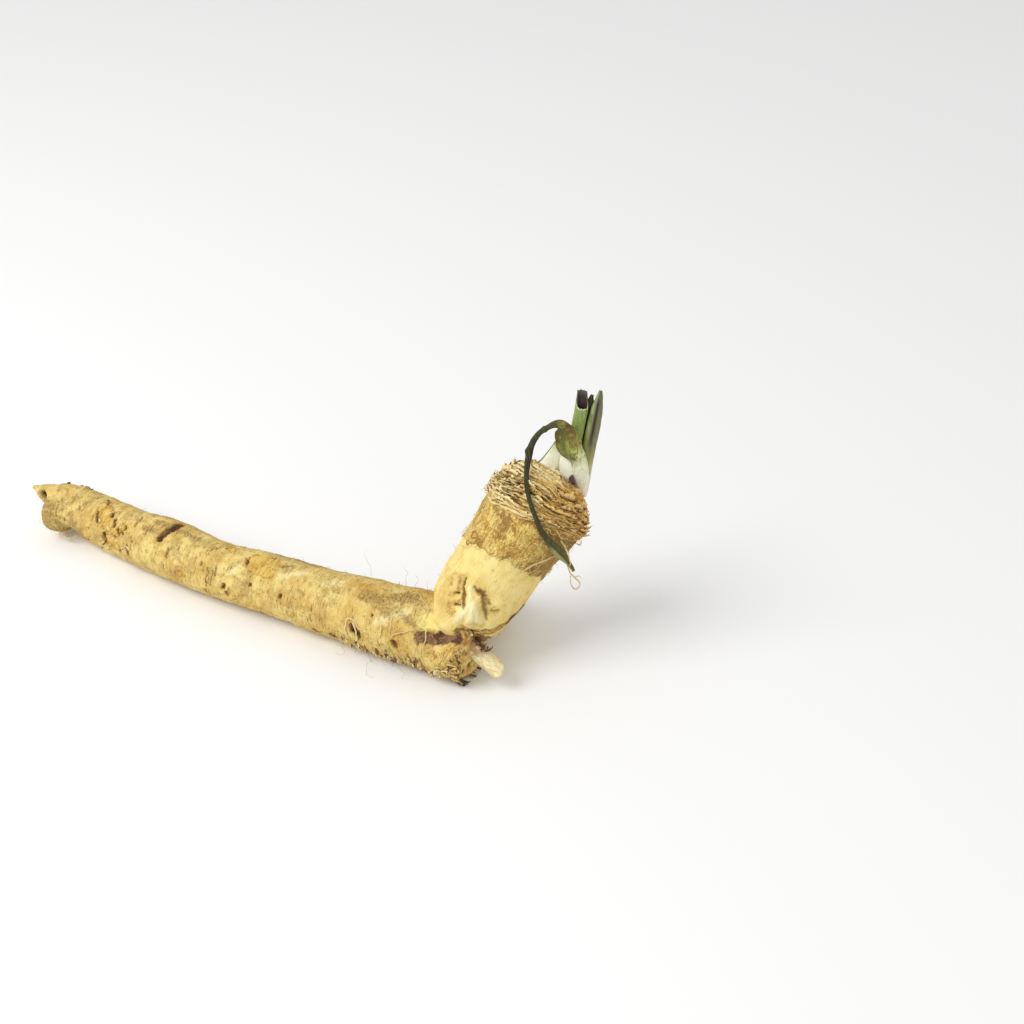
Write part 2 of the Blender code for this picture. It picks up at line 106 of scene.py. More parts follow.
# The thick heel behind the crown's foot, and the two splinters of the snapped left end: start, end, radius at
# each, sag. Their last stretch, past ROUND_FROM of their length, is rounded off.
HEEL = ((0.0120, 0.0160, 0.0225), (0.0030, 0.0530, 0.0108), 0.0158, 0.0124, 0.0012)
BEAK = ((-0.2230, -0.0110, 0.0195), (-0.2413, -0.0150, 0.0240), 0.0055, 0.0012, 0.0)
FLAP = ((-0.2140, -0.0088, 0.0168), (-0.2392, -0.0136, 0.0226), 0.0124, 0.0028, 0.0)
ROUND_FROM = 0.86
SKIN_VOXEL, SKIN_ROUNDS = 0.00065, 4

# Marks of the old root, as strokes: mm along and degrees round of both ends, and half the width in mm. Dark
# scars with orange halos come first, then thin cracks across the skin.
SCARS = (
    (-143.2, -103, -143.6, -82, 2.6), (-144.6, -70, -145.6, -54, 2.2), (-103.4, -9, -103.6, -4, 1.5),
    (-101.9, 7, -101.6, 12, 0.9), (-183.4, -20, -182.8, -2, 1.3), (-184.2, -72, -183.8, -62, 1.2),
    (-179.6, -58, -178.8, -43, 1.1), (-195.0, -56, -191.4, -36, 0.9), (-175.5, -40, -173.2, -30, 1.2),
    (-171.0, -54, -170.6, -46, 1.1), (-193.4, -96, -193.0, -88, 1.0), (-166.2, -8, -165.9, 4, 0.9),
    (-115.4, 16, -115.0, 23, 0.8), (-50.4, 30, -48.6, 33, 1.5), (-41.0, 26, -39.2, 30, 1.3),
    (-84.6, 45, -83.0, 50, 1.6), (-87.8, -28, -87.7, -27, 0.7), (-69.9, -26, -69.7, -20, 0.9),
    (-17.8, -37, -17.7, -37, 0.8), (-94.6, -76, -94.0, -66, 0.9), (-205.6, 46, -203.0, 40, 1.2),
    (-199.4, 26, -198.0, 20, 1.0), (-27.6, -8, -24.4, 1, 2.1), (-5.5, -4, -4.5, 4, 1.3),
    (-60.0, 150, -57.0, 160, 2.0), (-125.0, 172, -123.0, 186, 1.7), (-168.0, 205, -166.0, 222, 1.6),
)
CRACKS = (
    (-202.4, -96, -202.0, -86, 0.4), (-165.3, -70, -164.8, -58, 0.4), (-165.7, -92, -165.2, -80, 0.4),
    (-156.2, -62, -155.6, -48, 0.5), (-154.4, -74, -154.0, -60, 0.5), (-158.8, -66, -158.2, -50, 0.4),
    (-163.2, -30, -162.8, -8, 0.4), (-138.9, -42, -138.7, -22, 0.4), (-133.3, -54, -133.0, -44, 0.4),
    (-116.9, -84, -116.5, -62, 0.4), (-118.8, -42, -118.7, -38, 0.8), (-129.6, 16, -129.3, 25, 0.4),
    (-113.9, -34, -113.5, 4, 0.4), (-111.4, -32, -111.0, 2, 0.35), (-109.6, -46, -109.2, -22, 0.4),
    (-51.3, -22, -51.0, 4, 0.35), (-187.0, -84, -186.4, -74, 0.5), (-209.0, -60, -208.4, -44, 0.5),
    (-10.2, 16, -9.8, 36, 0.6), (2.6, 12, 3.0, 34, 0.7), (7.0, 16, 7.6, 38, 0.8),
    (11.6, 14, 12.4, 40, 0.8),
)
# Round scars of old side roots: mm along, degrees round, radius of the ring in mm.
EYES = (
    (-129.8, -1, 2.1), (-26.2, -62, 1.7), (-97.0, 20, 1.3), (-91.0, 23, 1.2), (-85.2, 22, 1.3),
    (-77.6, 26, 1.2), (-212.0, -30, 1.4), (-151.0, -20, 1.1), (-62.0, 4, 1.2), (-45.0, -50, 1.1),
    (-140.0, 120, 1.9), (-96.0, 140, 1.6), (-52.0, 190, 1.9), (-20.0, 140, 1.6), (-180.0, 160, 1.6),
)
# Golden peeled patches, orange stains, greyed skin, and smooth pale strips with painted highlights.
PEELED = (
    (-193.0, -62, -183.0, -48, 3.6), (-186.0, -44, -176.0, -34, 3.6), (-190.0, -78, -186.0, -70, 2.6),
    (-182.0, -10, -174.0, 0, 3.0), (-172.4, -52, -170.8, -42, 2.6), (-91.5, -80, -80.5, -82, 4.2),
    (-90.0, -62, -79.5, -58, 3.0), (-109.8, -98, -106.5, -92, 2.0), (-132.0, 150, -120.0, 165, 3.6),
    (-70.0, 205, -58.0, 196, 3.8), (-160.0, 250, -152.0, 240, 3.2),
)
STAINS = (
    (-82.0, -12, -79.0, -2, 3.2), (-112.0, -66, -108.0, -58, 2.6), (-58.0, -30, -52.0, -22, 3.0),
    (-34.0, -84, -20.0, -78, 5.0), (-30.0, -62, -24.0, -60, 2.4), (-6.0, -20, 2.0, 10, 5.5),
    (-128.0, -8, -131.0, 6, 3.6), (-141.0, -30, -136.0, -18, 2.8), (-70.5, -22, -68.0, -14, 3.0),
    (-8.0, -120, 6.0, -100, 6.0), (-150.0, 120, -140.0, 140, 5.0), (-40.0, 160, -20.0, 170, 6.0),
)
GREYED = (
    (-224.0, -4, -214.0, 26, 7.0), (-227.0, -30, -217.0, 20, 9.0), (-226.0, 20, -216.0, 50, 8.0),
    (-212.0, -20, -204.0, 20, 4.5), (-23.0, -66, -8.0, -52, 4.2), (-10.0, -74, -2.0, -88, 4.5),
    (-155.0, -84, -128.0, -86, 2.6), (-160.0, -64, -151.0, -60, 2.6), (-76.0, -80, -70.0, -86, 2.5),
    (-3.0, -50, 3.0, -42, 2.4), (-210.0, 150, -190.0, 200, 6.0), (-90.0, 230, -60.0, 240, 4.0),
)
PALE_AND_HIGHLIGHTS = (
    (-73.0, -58, -61.0, -80, 2.4), (-48.0, -70, -41.0, -78, 2.4), (-178.6, -84, -178.2, -42, 0.8),
    (-181.8, -88, -188.2, -60, 0.7), (-172.0, -2, -168.0, 2, 1.5), (-100.0, -40, -96.0, -52, 2.4),
    (-14.0, -30, -2.0, -58, 2.6),
)
# The torn end: where the skin stops (degrees round, mm along), a dark purple-brown band and the flat above
# it.
SKIN_ENDS = (
    (-180, 27.0), (-95, 26.0), (-66, 24.0), (-48, 17.5), (-22, 15.8),
    (-4, 17.0), (14, 21.6), (24, 26.5), (60, 27.5), (180, 27.0),
)
DARK_BAND = ((8.0, -24, 17.0, -32, 3.3), (17.0, -33, 24.6, -55, 3.3))
BRIGHT = ((7.6, -47, 17.6, -56, 2.3), (6.0, -50, 10.0, -62, 2.2), (13.0, -54, 20.0, -64, 2.2))
# Holes of the broken ends: place, radius, depth.
HOLES = (
    ((-0.2322, -0.0176, 0.0218), 0.0036, 0.0052),
    ((0.0340, -0.0052, 0.0098), 0.0026, 0.0022),
    ((0.0310, -0.0098, 0.0090), 0.0015, 0.0014),
    ((0.0300, -0.0125, 0.0150), 0.0012, 0.0010),
    ((0.0335, 0.0030, 0.0170), 0.0020, 0.0016),
    ((-0.0262, -0.0215, 0.0170), 0.0011, 0.0016),
)


def unit(vectors):
    """Vectors of length 1."""
    return vectors / np.linalg.norm(vectors, axis=-1, keepdims=True)


def smooth(value, low, high):
    """0 below low, 1 above high and eased between."""
    share = np.clip((value - low) / (high - low), 0.0, 1.0)
    return share * share * (3 - 2 * share)


def through(rows, t, column=1):
    """A smooth value at each t through rows that start with t."""
    rows = np.asarray(rows, float)
    x, y = rows[:, 0], rows[:, column]
    slope = np.empty(len(x))
    slope[1:-1] = (y[2:] - y[:-2]) / (x[2:] - x[:-2])
    slope[0], slope[-1] = (y[1] - y[0]) / (x[1] - x[0]), (y[-1] - y[-2]) / (x[-1] - x[-2])
    t = np.clip(t, x[0], x[-1])
    i = np.clip(np.searchsorted(x, t, side="right") - 1, 0, len(x) - 2)
    span = x[i + 1] - x[i]
    u = (t - x[i]) / span
    return (
        y[i] * (1 + 2 * u) * (1 - u) ** 2
        + slope[i] * span * u * (1 - u) ** 2
        + y[i + 1] * u * u * (3 - 2 * u)
        - slope[i + 1] * span * u * u * (1 - u)
    )


def lumps(points):
    """Lumps of two sizes at rows of points, as the solid has them."""
    places = map(Vector, points.reshape(-1, 3))
    return np.array([noise.noise(p) + 0.5 * noise.noise(p * 2.5) for p in places]).reshape(points.shape[:-1])


def grain(points, seed=0):
    """Smooth noise at rows of points, between about -1 and 1."""
    cell = np.floor(points).astype(np.int64)
    inside = points - cell
    ease = inside**3 * (inside * (inside * 6 - 15) + 10)
    total = np.zeros(points.shape[:-1])
    for corner in itertools.product((0, 1), repeat=3):
        at = cell + corner
        mixed = at[..., 0] * 73856093 ^ at[..., 1] * 19349663 ^ at[..., 2] * 83492791 ^ seed * 40503
        mixed = (mixed ^ mixed >> 13) * 1274126177 & 0x3FFFFFFF
        slope = np.stack([mixed & 1023, mixed >> 10 & 1023, mixed >> 20 & 1023], axis=-1) / 511.5 - 1
        weight = np.prod(np.where(corner, ease, 1 - ease), axis=-1)
        total += weight * ((inside - corner) * slope).sum(-1)
    return total * 1.5


def turned_from(angle, around):
    """Degrees from an angle to places round a piece, which are in radians. They lie between -180 and 180."""
    return (np.degrees(around) - angle + 180) % 360 - 180


def dents(table, along, around):
    """How much the dimples of a table take off the radius."""
    total = np.zeros(np.broadcast(along, around).shape)
    for centre, angle, length, spread, depth in table:
        turn = turned_from(angle, around)
        total += depth * np.exp(-(((along - centre) / length) ** 2) - (turn / spread) ** 2)
    return total


def strokes(table, along, around, girth, fray=0.0, soft=0.4):
    """How surely places lie in the strokes of a table, 0 to 1. Fray tears the strokes' edges."""
    deepest = np.full(np.broadcast(along, around).shape, -9.0)
    arc = math.radians(1) * girth / MM
    for start, first, end, last, width in table:
        x = along / MM - start
        y = turned_from(first, around) * arc
        run, rise = end - start, ((last - first + 180) % 360 - 180) * arc
        share = np.clip((x * run + y * rise) / (run * run + rise * rise + 1e-9), 0, 1)
        deepest = np.maximum(deepest, 1 - np.hypot(x - share * run, y - share * rise) / width)
    return smooth(deepest + fray, 0.0, soft)


def heading(line, s, near=NEAR):
    """Which way a line runs at each s."""
    return unit(line(s + near) - line(s - near))


def sides_of(tangents, facing=FRONT):
    """Two directions square to each tangent: the one nearest to a given way, and the one beside that."""
    first = unit(facing - tangents * (tangents @ facing)[..., None])
    return first, np.cross(tangents, first)


def rings_round(middles, tangents, reach, angles, facing=FRONT):
    """Rings of points round a line of middles. Angle 0 faces the given way."""
    first, second = sides_of(tangents, facing)
    outward = first[:, None] * np.cos(angles)[..., None] + second[:, None] * np.sin(angles)[..., None]
    return middles[:, None] + outward * reach[..., None]


def closed(rings, tips):
    """Points and faces of a closed skin through rings of points."""
    count, sides = rings.shape[:2]
    points = np.concatenate([rings.reshape(-1, 3), np.asarray(tips)])
    here = np.arange(count * sides).reshape(count, sides)
    ahead = np.roll(here, -1, axis=1)
    walls = np.stack([here[:-1], ahead[:-1], ahead[1:], here[1:]], axis=-1).reshape(-1, 4)
    foot = np.stack([ahead[0], here[0], np.full(sides, count * sides)], axis=-1)
    head = np.stack([here[-1], ahead[-1], np.full(sides, count * sides + 1)], axis=-1)
    return points, walls.tolist() + foot.tolist() + head.tolist()


def gathered(bodies):
    """Several bodies as one list of points and one of faces."""
    points, faces, count = [], [], 0
    for some, between in bodies:
        points.append(some)
        faces += [[corner + count for corner in face] for face in between]
        count += len(some)
    return np.concatenate(points), faces


def evened(points, faces, voxel, rounds):
    """One skin of even small faces round overlapping bodies, slightly rounded."""
    mesh = bpy.data.meshes.new("rough")
    mesh.from_pydata(points.tolist(), [], faces)
    rough = bpy.data.objects.new("rough", mesh)
    bpy.context.scene.collection.objects.link(rough)
    remesh = rough.modifiers.new("even", "REMESH")
    remesh.mode = "VOXEL"
    remesh.voxel_size = voxel
    soften = rough.modifiers.new("soften", "SMOOTH")
    soften.iterations = rounds
    bpy.context.view_layer.update()
    even = bpy.data.meshes.new_from_object(rough.evaluated_get(bpy.context.evaluated_depsgraph_get()))
    bpy.data.objects.remove(rough)
    found, normals = np.empty(len(even.vertices) * 3), np.empty(len(even.vertices) * 3)
    even.vertices.foreach_get("co", found)
    even.vertex_normals.foreach_get("vector", normals)
    between = [list(face.vertices) for face in even.polygons]
    bpy.data.meshes.remove(even)
    return found.reshape(-1, 3), normals.reshape(-1, 3), between


def grown(name, points, faces, finish, slot, **fields):
    """A piece of the plant. Fields are values that its finish reads at each point."""
    mesh = bpy.data.meshes.new(name)
    inside = np.clip(points + SHIFT, CAD_LOW, CAD_HIGH)
    mesh.from_pydata(inside.tolist(), [], faces)
    for field, values in fields.items():
        wide = np.ndim(values) > 1
        layer = mesh.attributes.new(field, "FLOAT_VECTOR" if wide else "FLOAT", "POINT")
        layer.data.foreach_set("vector" if wide else "value", np.asarray(values, np.float32).ravel())
    mesh.shade_smooth()
    mesh.materials.append(finish)
    piece = bpy.data.objects.new(name, mesh)
    bpy.context.scene.collection.objects.link(piece)
    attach(piece, "root")
    return piece


class Tone:
    """A value or colour in a finish. Sums and products of tones add the nodes that work them out."""

    def __init__(self, tree, socket=None):
        self.tree, self.socket = tree, socket

    def make(self, kind, settings=None, sockets=None, out=0):
        """Any node: its settings first, then the values or links of its sockets."""
        node = self.tree.nodes.new("ShaderNode" + kind)
        for name, value in (settings or {}).items():
            if name == "stops":
                stops = node.color_ramp.elements
                stops.remove(stops[-1])
                stops[0].position, stops[0].color = value[0][0], (*value[0][1], 1.0)
                for position, colour in value[1:]:
                    stops.new(position).color = (*colour, 1.0)
            else:
                setattr(node, name, value)
        for name, value in (sockets or {}).items():
            if isinstance(value, Tone):
                self.tree.links.new(value.socket, node.inputs[name])
            elif node.inputs[name].type == "RGBA":
                node.inputs[name].default_value = (*value, 1.0)
            else:
                node.inputs[name].default_value = value
        return Tone(self.tree, node.outputs[out]) if node.outputs else node

    def maths(self, operation, first, second):
        return self.make("Math", {"operation": operation}, {0: first, 1: second})

    def __add__(self, other):
        return self.maths("ADD", self, other)

    def __sub__(self, other):
        return self.maths("SUBTRACT", self, other)

    def __rsub__(self, other):
        return self.maths("SUBTRACT", other, self)

    def __mul__(self, other):
        return self.maths("MULTIPLY", self, other)

    __radd__ = __add__
    __rmul__ = __mul__

    def between(self, low, high):
        """0 below low, 1 above high and eased between."""
        return self.make("MapRange", {"interpolation_type": "SMOOTHSTEP"}, {0: self, 1: low, 2: high})

    def mixed(self, mask, first, second):
        """The first colour where the mask is 0, and the second where it is 1."""
        return self.make("Mix", {"data_type": "RGBA"}, {0: mask, 6: first, 7: second}, 2)

    def painted(self, *coats):
        """This colour under coats of others, each laid on where its mask is 1."""
        colour = self
        for mask, coat in coats:
            colour = self.mixed(mask, colour, coat)
        return colour

    def field(self, name, out="Fac"):
        """A value that the mesh holds at each point."""
        return self.make("Attribute", {"attribute_name": name}, None, out)

    def stretched(self, along, across, depth):
        """This place, scaled along each of its directions."""
        return self.make("VectorMath", {"operation": "MULTIPLY"}, {0: self, 1: (along, across, depth)})

    def mottle(self, size, detail=2.0):
        """Cloudy noise at this place, about 0.5, with clouds of a size."""
        sockets = {"Vector": self, "Scale": 1 / size, "Detail": detail, "Roughness": 0.6}
        return self.make("TexNoise", None, sockets)

    def cells(self, size):
        """Distance to the middle of scattered cells of a size."""
        return self.make("TexVoronoi", {"feature": "F1"}, {"Vector": self, "Scale": 1 / size})


def started(name, held=None):
    """A new finish, the tone that its nodes start from, and its place: in metres, or as the mesh holds it."""
    material = bpy.data.materials.new(name)
    material.use_nodes = True
    material.node_tree.nodes.clear()
    start = Tone(material.node_tree)
    spot = start.field(held, "Vector") if held else start.make("TexCoord", out="Object")
    return material, start, spot


def ended(start, colour, roughness, height, depth, **fixed):
    """Ends a finish in one shader. Height of the fine relief times depth is in metres."""
    normal = start.make("Bump", None, {"Strength": 1.0, "Distance": depth, "Height": height})
    sockets = {"Base Color": colour, "Roughness": roughness, "Normal": normal}
    sockets.update({name.replace("_", " "): value for name, value in fixed.items()})
    shader = start.make("BsdfPrincipled", None, sockets)
    start.make("OutputMaterial", None, {"Surface": shader})


def shaft_line(s):
    """The old root's middle at x = s."""
    return np.stack([s, through(SHAFT, s, 1), through(SHAFT, s, 2) + through(SHAFT, s, 3)], axis=-1)


def shaft_reach(s, around):
    """The old root's radius, with its lumps and wounds, at metres along and radians round."""
    lumpy = lumps(np.stack([s * 55, np.cos(around) * 0.8, np.sin(around) * 0.8], axis=-1))
    return through(SHAFT, s, 3) * (1 + SHAFT_LUMPS * lumpy) - dents(SHAFT_WOUNDS, s, around)


def shaft_rings(sides, count):
    """Rings of the old root, and a smaller one past each end."""
    first, last = SHAFT[0, 0], SHAFT[-1, 0]
    along = np.concatenate([[first - SHAFT_ENDS], np.linspace(first, last, count), [last + SHAFT_ENDS]])
    angles = np.linspace(0, math.tau, sides, endpoint=False)
    reach = shaft_reach(*np.meshgrid(along, angles, indexing="ij"))
    reach[[0, -1]] *= SHAFT_END_SHARE
    return rings_round(shaft_line(along), heading(shaft_line, along), reach, angles)


def round_place(angles, size, along):
    """Places on a round of a size, for noise that closes round a piece."""
    return np.stack(np.broadcast_arrays(np.cos(angles) * size, np.sin(angles) * size, along), axis=-1)


def side_root(start, end, first_radius, last_radius, sag, sides=24, steps=12):
    """A side root cut off bluntly, bowed down by sag."""
    start, end = np.array(start), np.array(end)
    blunt_end = 1.01 - ROUND_FROM
    along = np.array([ROUND_FROM * k / steps for k in range(steps + 1)])
    along = np.concatenate([along, ROUND_FROM + blunt_end * np.array((0.3, 0.5, 0.7, 0.85, 0.95))])

    def line(u):
        u = np.asarray(u, float)[..., None]
        return start + (end - start) * u - UP * (sag * 4 * u * (1 - u))

    blunt = np.sqrt(1 - (np.maximum(along - ROUND_FROM, 0.0) / blunt_end) ** 2)
    radius = (first_radius + (last_radius - first_radius) * along) * blunt
    angles = np.linspace(0, math.tau, sides, endpoint=False)
    reach = radius[:, None] * (1 + 0.10 * grain(round_place(angles, 1.0, along[:, None] * 4) * 1.5))
    rings = rings_round(line(along), heading(line, along, 0.01), reach, angles)
    return closed(rings, (line(-0.02), line(1.0)))


def shaft_place(points):
    """Where points are on the old root: distance along it, angle round it, and distance from its middle."""
    first, last = SHAFT[0, 0], SHAFT[-1, 0]
    s = np.clip(points[:, 0], first, last)
    for _ in range(3):
        ahead = (shaft_line(s + NEAR) - shaft_line(s - NEAR)) / (2 * NEAR)
        s = np.clip(s + ((points - shaft_line(s)) * ahead).sum(1) / (ahead**2).sum(1), first, last)
    tangent = heading(shaft_line, s)
    front, side = sides_of(tangent)
    offset = points - shaft_line(s)
    around = np.arctan2((offset * side).sum(1), (offset * front).sum(1))
    return s + (offset * tangent).sum(1), around, np.linalg.norm(offset, axis=1)


left_end = shaft_line(SHAFT[0, 0]) - (SHAFT_ENDS * 0.6, 0, 0)
right_end = shaft_line(SHAFT[-1, 0]) + (SHAFT_ENDS * 1.8, 0, 0)
body = closed(shaft_rings(SHAFT_SIDES, SHAFT_COUNT), (left_end, right_end))
old_root = gathered([body, side_root(*HEEL, sides=48), side_root(*BEAK), side_root(*FLAP)])
points, normals, faces = evened(*old_root, SKIN_VOXEL, SKIN_ROUNDS)

# How strongly each mark shows at each point of the skin, 0 to 1.
along, around, out = shaft_place(points)
place = np.stack([along, out * np.cos(around), out * np.sin(around)], axis=-1)
fray = grain(place * 900, 1) * 0.5 + grain(place * 350, 2) * 0.4
on_shaft = smooth(out, 0.026, 0.020)
# Marks stray from their lines, as marks on a skin that has stretched do.
stray = 0.0010 * grain(place * 230, 8) + 0.0005 * grain(place * 620, 9)
stray_round = 0.0010 * grain(place * 230, 10) + 0.0005 * grain(place * 620, 11)
strayed = along + stray, around + stray_round / SHAFT_RADIUS
half_way = (along + strayed[0]) / 2, (around + strayed[1]) / 2
scar = strokes(SCARS, *half_way, SHAFT_RADIUS, fray * 0.6, 0.45) * on_shaft
halos = [(*row[:4], row[4] * 2.0 + 0.5) for row in SCARS]
halo = strokes(halos, *strayed, SHAFT_RADIUS, fray * 0.7, 0.9) * on_shaft
crack = strokes(CRACKS, *strayed, SHAFT_RADIUS, fray * 0.6) * on_shaft
peeled = strokes(PEELED, *strayed, SHAFT_RADIUS, fray * 0.5, 0.16) * on_shaft
peel_rim = 4 * peeled * (1 - peeled)
stain = strokes(STAINS, *strayed, SHAFT_RADIUS, fray, 1.0) * on_shaft
greyed = strokes(GREYED, *strayed, SHAFT_RADIUS, fray * 0.8, 0.7) * on_shaft
glint = strokes(PALE_AND_HIGHLIGHTS, *strayed, SHAFT_RADIUS, fray * 0.8, 0.8) * on_shaft
rind = strokes(DARK_BAND, *strayed, SHAFT_RADIUS, fray * 0.5, 0.3)
bright = strokes(BRIGHT, *strayed, SHAFT_RADIUS, fray * 0.3, 0.3) * (1 - rind)
# A scar of a side root is a broken ring round a low middle.
eye, pupil = np.zeros(len(points)), np.zeros(len(points))
for s, angle, radius in EYES:
    turn = turned_from(angle, around) * math.radians(1) * SHAFT_RADIUS
    distance = np.hypot(along - s * MM, turn * 1.25) / (radius * MM)
    distance = distance + fray * 0.25 + 0.30 * grain(place * 330, 12)
    broken = 0.25 + 0.75 * smooth(grain(place * 420, 21), -0.35, 0.15)
    eye = np.maximum(eye, (1 - smooth(np.abs(distance - 1), 0.12, 0.45)) * on_shaft * broken)
    pupil = np.maximum(pupil, smooth(distance, 0.7, 0.3) * on_shaft)
# Past its torn end the skin has left the flesh bare.
skin_end = through(SKIN_ENDS, np.degrees(around)) * MM
bare = smooth(along - skin_end + fray * 0.0012, -0.0002, 0.0005) * on_shaft
# The holes of the broken ends sink into the skin, and their mask marks them for black painted shade.
hole, sunk = np.zeros(len(points)), np.zeros((len(points), 3))
for place_of_hole, radius, depth in HOLES:
    away = np.linalg.norm((points - place_of_hole) * (1, 0.8, 0.9), axis=1) + fray * 0.0007
    this = smooth(away, radius * 1.1, radius * 0.65)
    sunk -= normals * (this * depth)[:, None]
    hole = np.maximum(hole, smooth(away, radius, radius * 0.8))
# The relief that stands up from the skin, or goes down into it, in metres.
wrinkle = grain(place * (620, 90, 90), 5)
relief = 0.00038 * grain(place * 110, 3) + 0.00022 * grain(place * 300, 4)
relief += 0.00022 * wrinkle * smooth(grain(place * 60, 22), -0.35, 0.3) + 0.00012 * grain(place * 780, 23)
relief += -0.0011 * scar - 0.00055 * crack - 0.00055 * peeled + 0.00030 * eye - 0.0002 * pupil
relief += -0.0010 * bare + bare * 0.00075 * grain(place * (170, 520, 520), 6) - 0.0008 * rind
relief += greyed * 0.0003 * grain(place * 500, 7) + 0.00025 * halo * (1 - scar)
points = points + normals * relief[:, None] + sunk

CREAM = (0.77, 0.60, 0.205)
PALE = (0.68, 0.475, 0.135)
TAN = (0.47, 0.285, 0.070)
ORANGE = (0.56, 0.315, 0.055)
BROWN = (0.20, 0.095, 0.026)
DARK = (0.045, 0.020, 0.009)
GREY_TAN = (0.34, 0.222, 0.085)
PURPLE_BROWN = (0.085, 0.036, 0.024)
BLACK = (0.004, 0.003, 0.003)

skin, start, spot = started("root_skin", "place")
cloud, patch, crumb = spot.mottle(17), spot.mottle(4.2, 4.0), spot.mottle(1.1, 3.0)
broad, speck = spot.mottle(9, 3.0), spot.mottle(0.42, 1.0)
tick = spot.stretched(1.5, 0.24, 0.24).mottle(1.0, 2.0)
band = spot.stretched(0.45, 0.05, 0.05).mottle(1.0, 3.0)
vein = spot.stretched(0.9, 0.10, 0.10).mottle(1.0, 3.0)
grey_cloud = spot.stretched(0.6, 1.0, 1.0).mottle(7.5, 4.0)
pore = spot.cells(3.1)
ring_line = spot.stretched(1.0, 0.13, 0.13).mottle(1.5, 3.0)
ring_crack = ring_line.between(0.470, 0.492) * (1 - ring_line.between(0.500, 0.522))
ring_crack = ring_crack * broad.between(0.46, 0.60)
colour = start.mixed(cloud.between(0.36, 0.60), PALE, CREAM)
colour = colour.painted(
    (broad.between(0.50, 0.68) * 0.55, TAN),
    (band.between(0.52, 0.66) * 0.40, (0.55, 0.36, 0.10)),
    (patch.between(0.50, 0.62) * 0.50, (0.58, 0.36, 0.080)),
    (patch.between(0.52, 0.36) * 0.22, (0.84, 0.69, 0.29)),
    (grey_cloud.between(0.55, 0.67) * (0.20 + crumb.between(0.4, 0.6) * 0.35), GREY_TAN),
    (vein.between(0.54, 0.68) * 0.35, TAN),
    (start.field("stain") * (0.35 + patch * 0.7), ORANGE),
    (start.field("halo") * (0.25 + crumb.between(0.38, 0.60) * 0.55), ORANGE),
    (start.field("peeled") * (0.65 + crumb.between(0.3, 0.7) * 0.35), (0.73, 0.490, 0.105)),
    (start.field("peeled") * vein.between(0.50, 0.60) * 0.55, (0.52, 0.27, 0.05)),
    (start.field("peeled") * patch.between(0.52, 0.59) * 0.75, (0.50, 0.28, 0.05)),
    # Pale smooth strips, and painted highlights on the skin.
    (start.field("glint") * 0.8, (0.85, 0.72, 0.34)),
    (start.field("greyed") * (0.45 + crumb.between(0.38, 0.62) * 0.45), (0.35, 0.220, 0.065)),
    (start.field("greyed") * crumb.between(0.56, 0.68) * 0.6, BROWN),
    (ring_crack * crumb.between(0.42, 0.58) * 0.50, (0.42, 0.235, 0.055)),
    (tick.between(0.585, 0.68) * patch.between(0.36, 0.54) * 0.75, BROWN),
    (crumb.between(0.60, 0.72) * broad.between(0.40, 0.58) * 0.75, BROWN),
    (speck.between(0.60, 0.70) * patch.between(0.42, 0.60) * 0.60, BROWN),
    ((1 - pore.between(0.04, 0.11)) * 0.6, BROWN),
    (start.field("peel_rim") * patch.between(0.38, 0.46) * 0.95, (0.17, 0.080, 0.020)),
    (start.field("eye") * 0.60, BROWN),
    (start.field("bare") * (0.80 + patch * 0.2), (0.70, 0.47, 0.12)),
    (start.field("bare") * broad.between(0.48, 0.60) * 0.8, (0.50, 0.25, 0.065)),
    (start.field("bare") * patch.between(0.54, 0.40) * 0.65, (0.82, 0.66, 0.24)),
    (start.field("bare") * tick.between(0.56, 0.64) * 0.7, (0.26, 0.12, 0.03)),
    (start.field("bare") * crumb.between(0.60, 0.70) * 0.7, BROWN),
    (start.field("bright"), (0.83, 0.68, 0.225)),
    (start.field("crack") * 0.85, BROWN),
    (start.field("scar") * 0.95, (0.165, 0.070, 0.019)),
    (start.field("scar") * patch.between(0.46, 0.56) * 0.85, DARK),
    # A dark purple-brown band near the torn end.
    (start.field("rind") * 0.92, (0.20, 0.095, 0.045)),
    (start.field("rind") * patch.between(0.46, 0.58) * 0.85, PURPLE_BROWN),
    (start.field("rind") * crumb.between(0.54, 0.64) * 0.6, (0.46, 0.29, 0.15)),
    # Painted shade: the holes of the broken ends are black.
    (start.field("hole"), BLACK),
)
height = crumb * 0.8 + tick * 0.65 + patch * 0.6 + vein * 0.35 + speck * 0.3
height = height - (1 - pore.between(0.04, 0.16)) * 0.35 - ring_crack * 0.25
ended(start, colour, 0.66 + crumb * 0.2, height, 0.00055, Specular_IOR_Level=0.28)

masks = dict(scar=scar, crack=crack, peeled=peeled, stain=stain, greyed=greyed, glint=glint, eye=eye)
masks.update(bare=bare, rind=rind, bright=bright, hole=hole, halo=halo, peel_rim=peel_rim)
shaft = grown("old_root", points, faces, skin, "root_skin", place=place / MM, **masks)
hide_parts("root")

# The crown: the thick head that the plant grows new leaves from each year. Its foot is smooth and fat
# over the old root. Higher up it peels in brown fibres, and the torn feet of old leaves ring its top.
# Where its middle line starts, which way it leans, and how far it bends on its way to the top.
CROWN_FOOT = np.array((0.0200, 0.0180, 0.0320))
CROWN_LEAN = unit(np.array((0.241, 0.600, 0.762)))
CROWN_BEND = np.array((0.0035, 0.0020, 0.0))
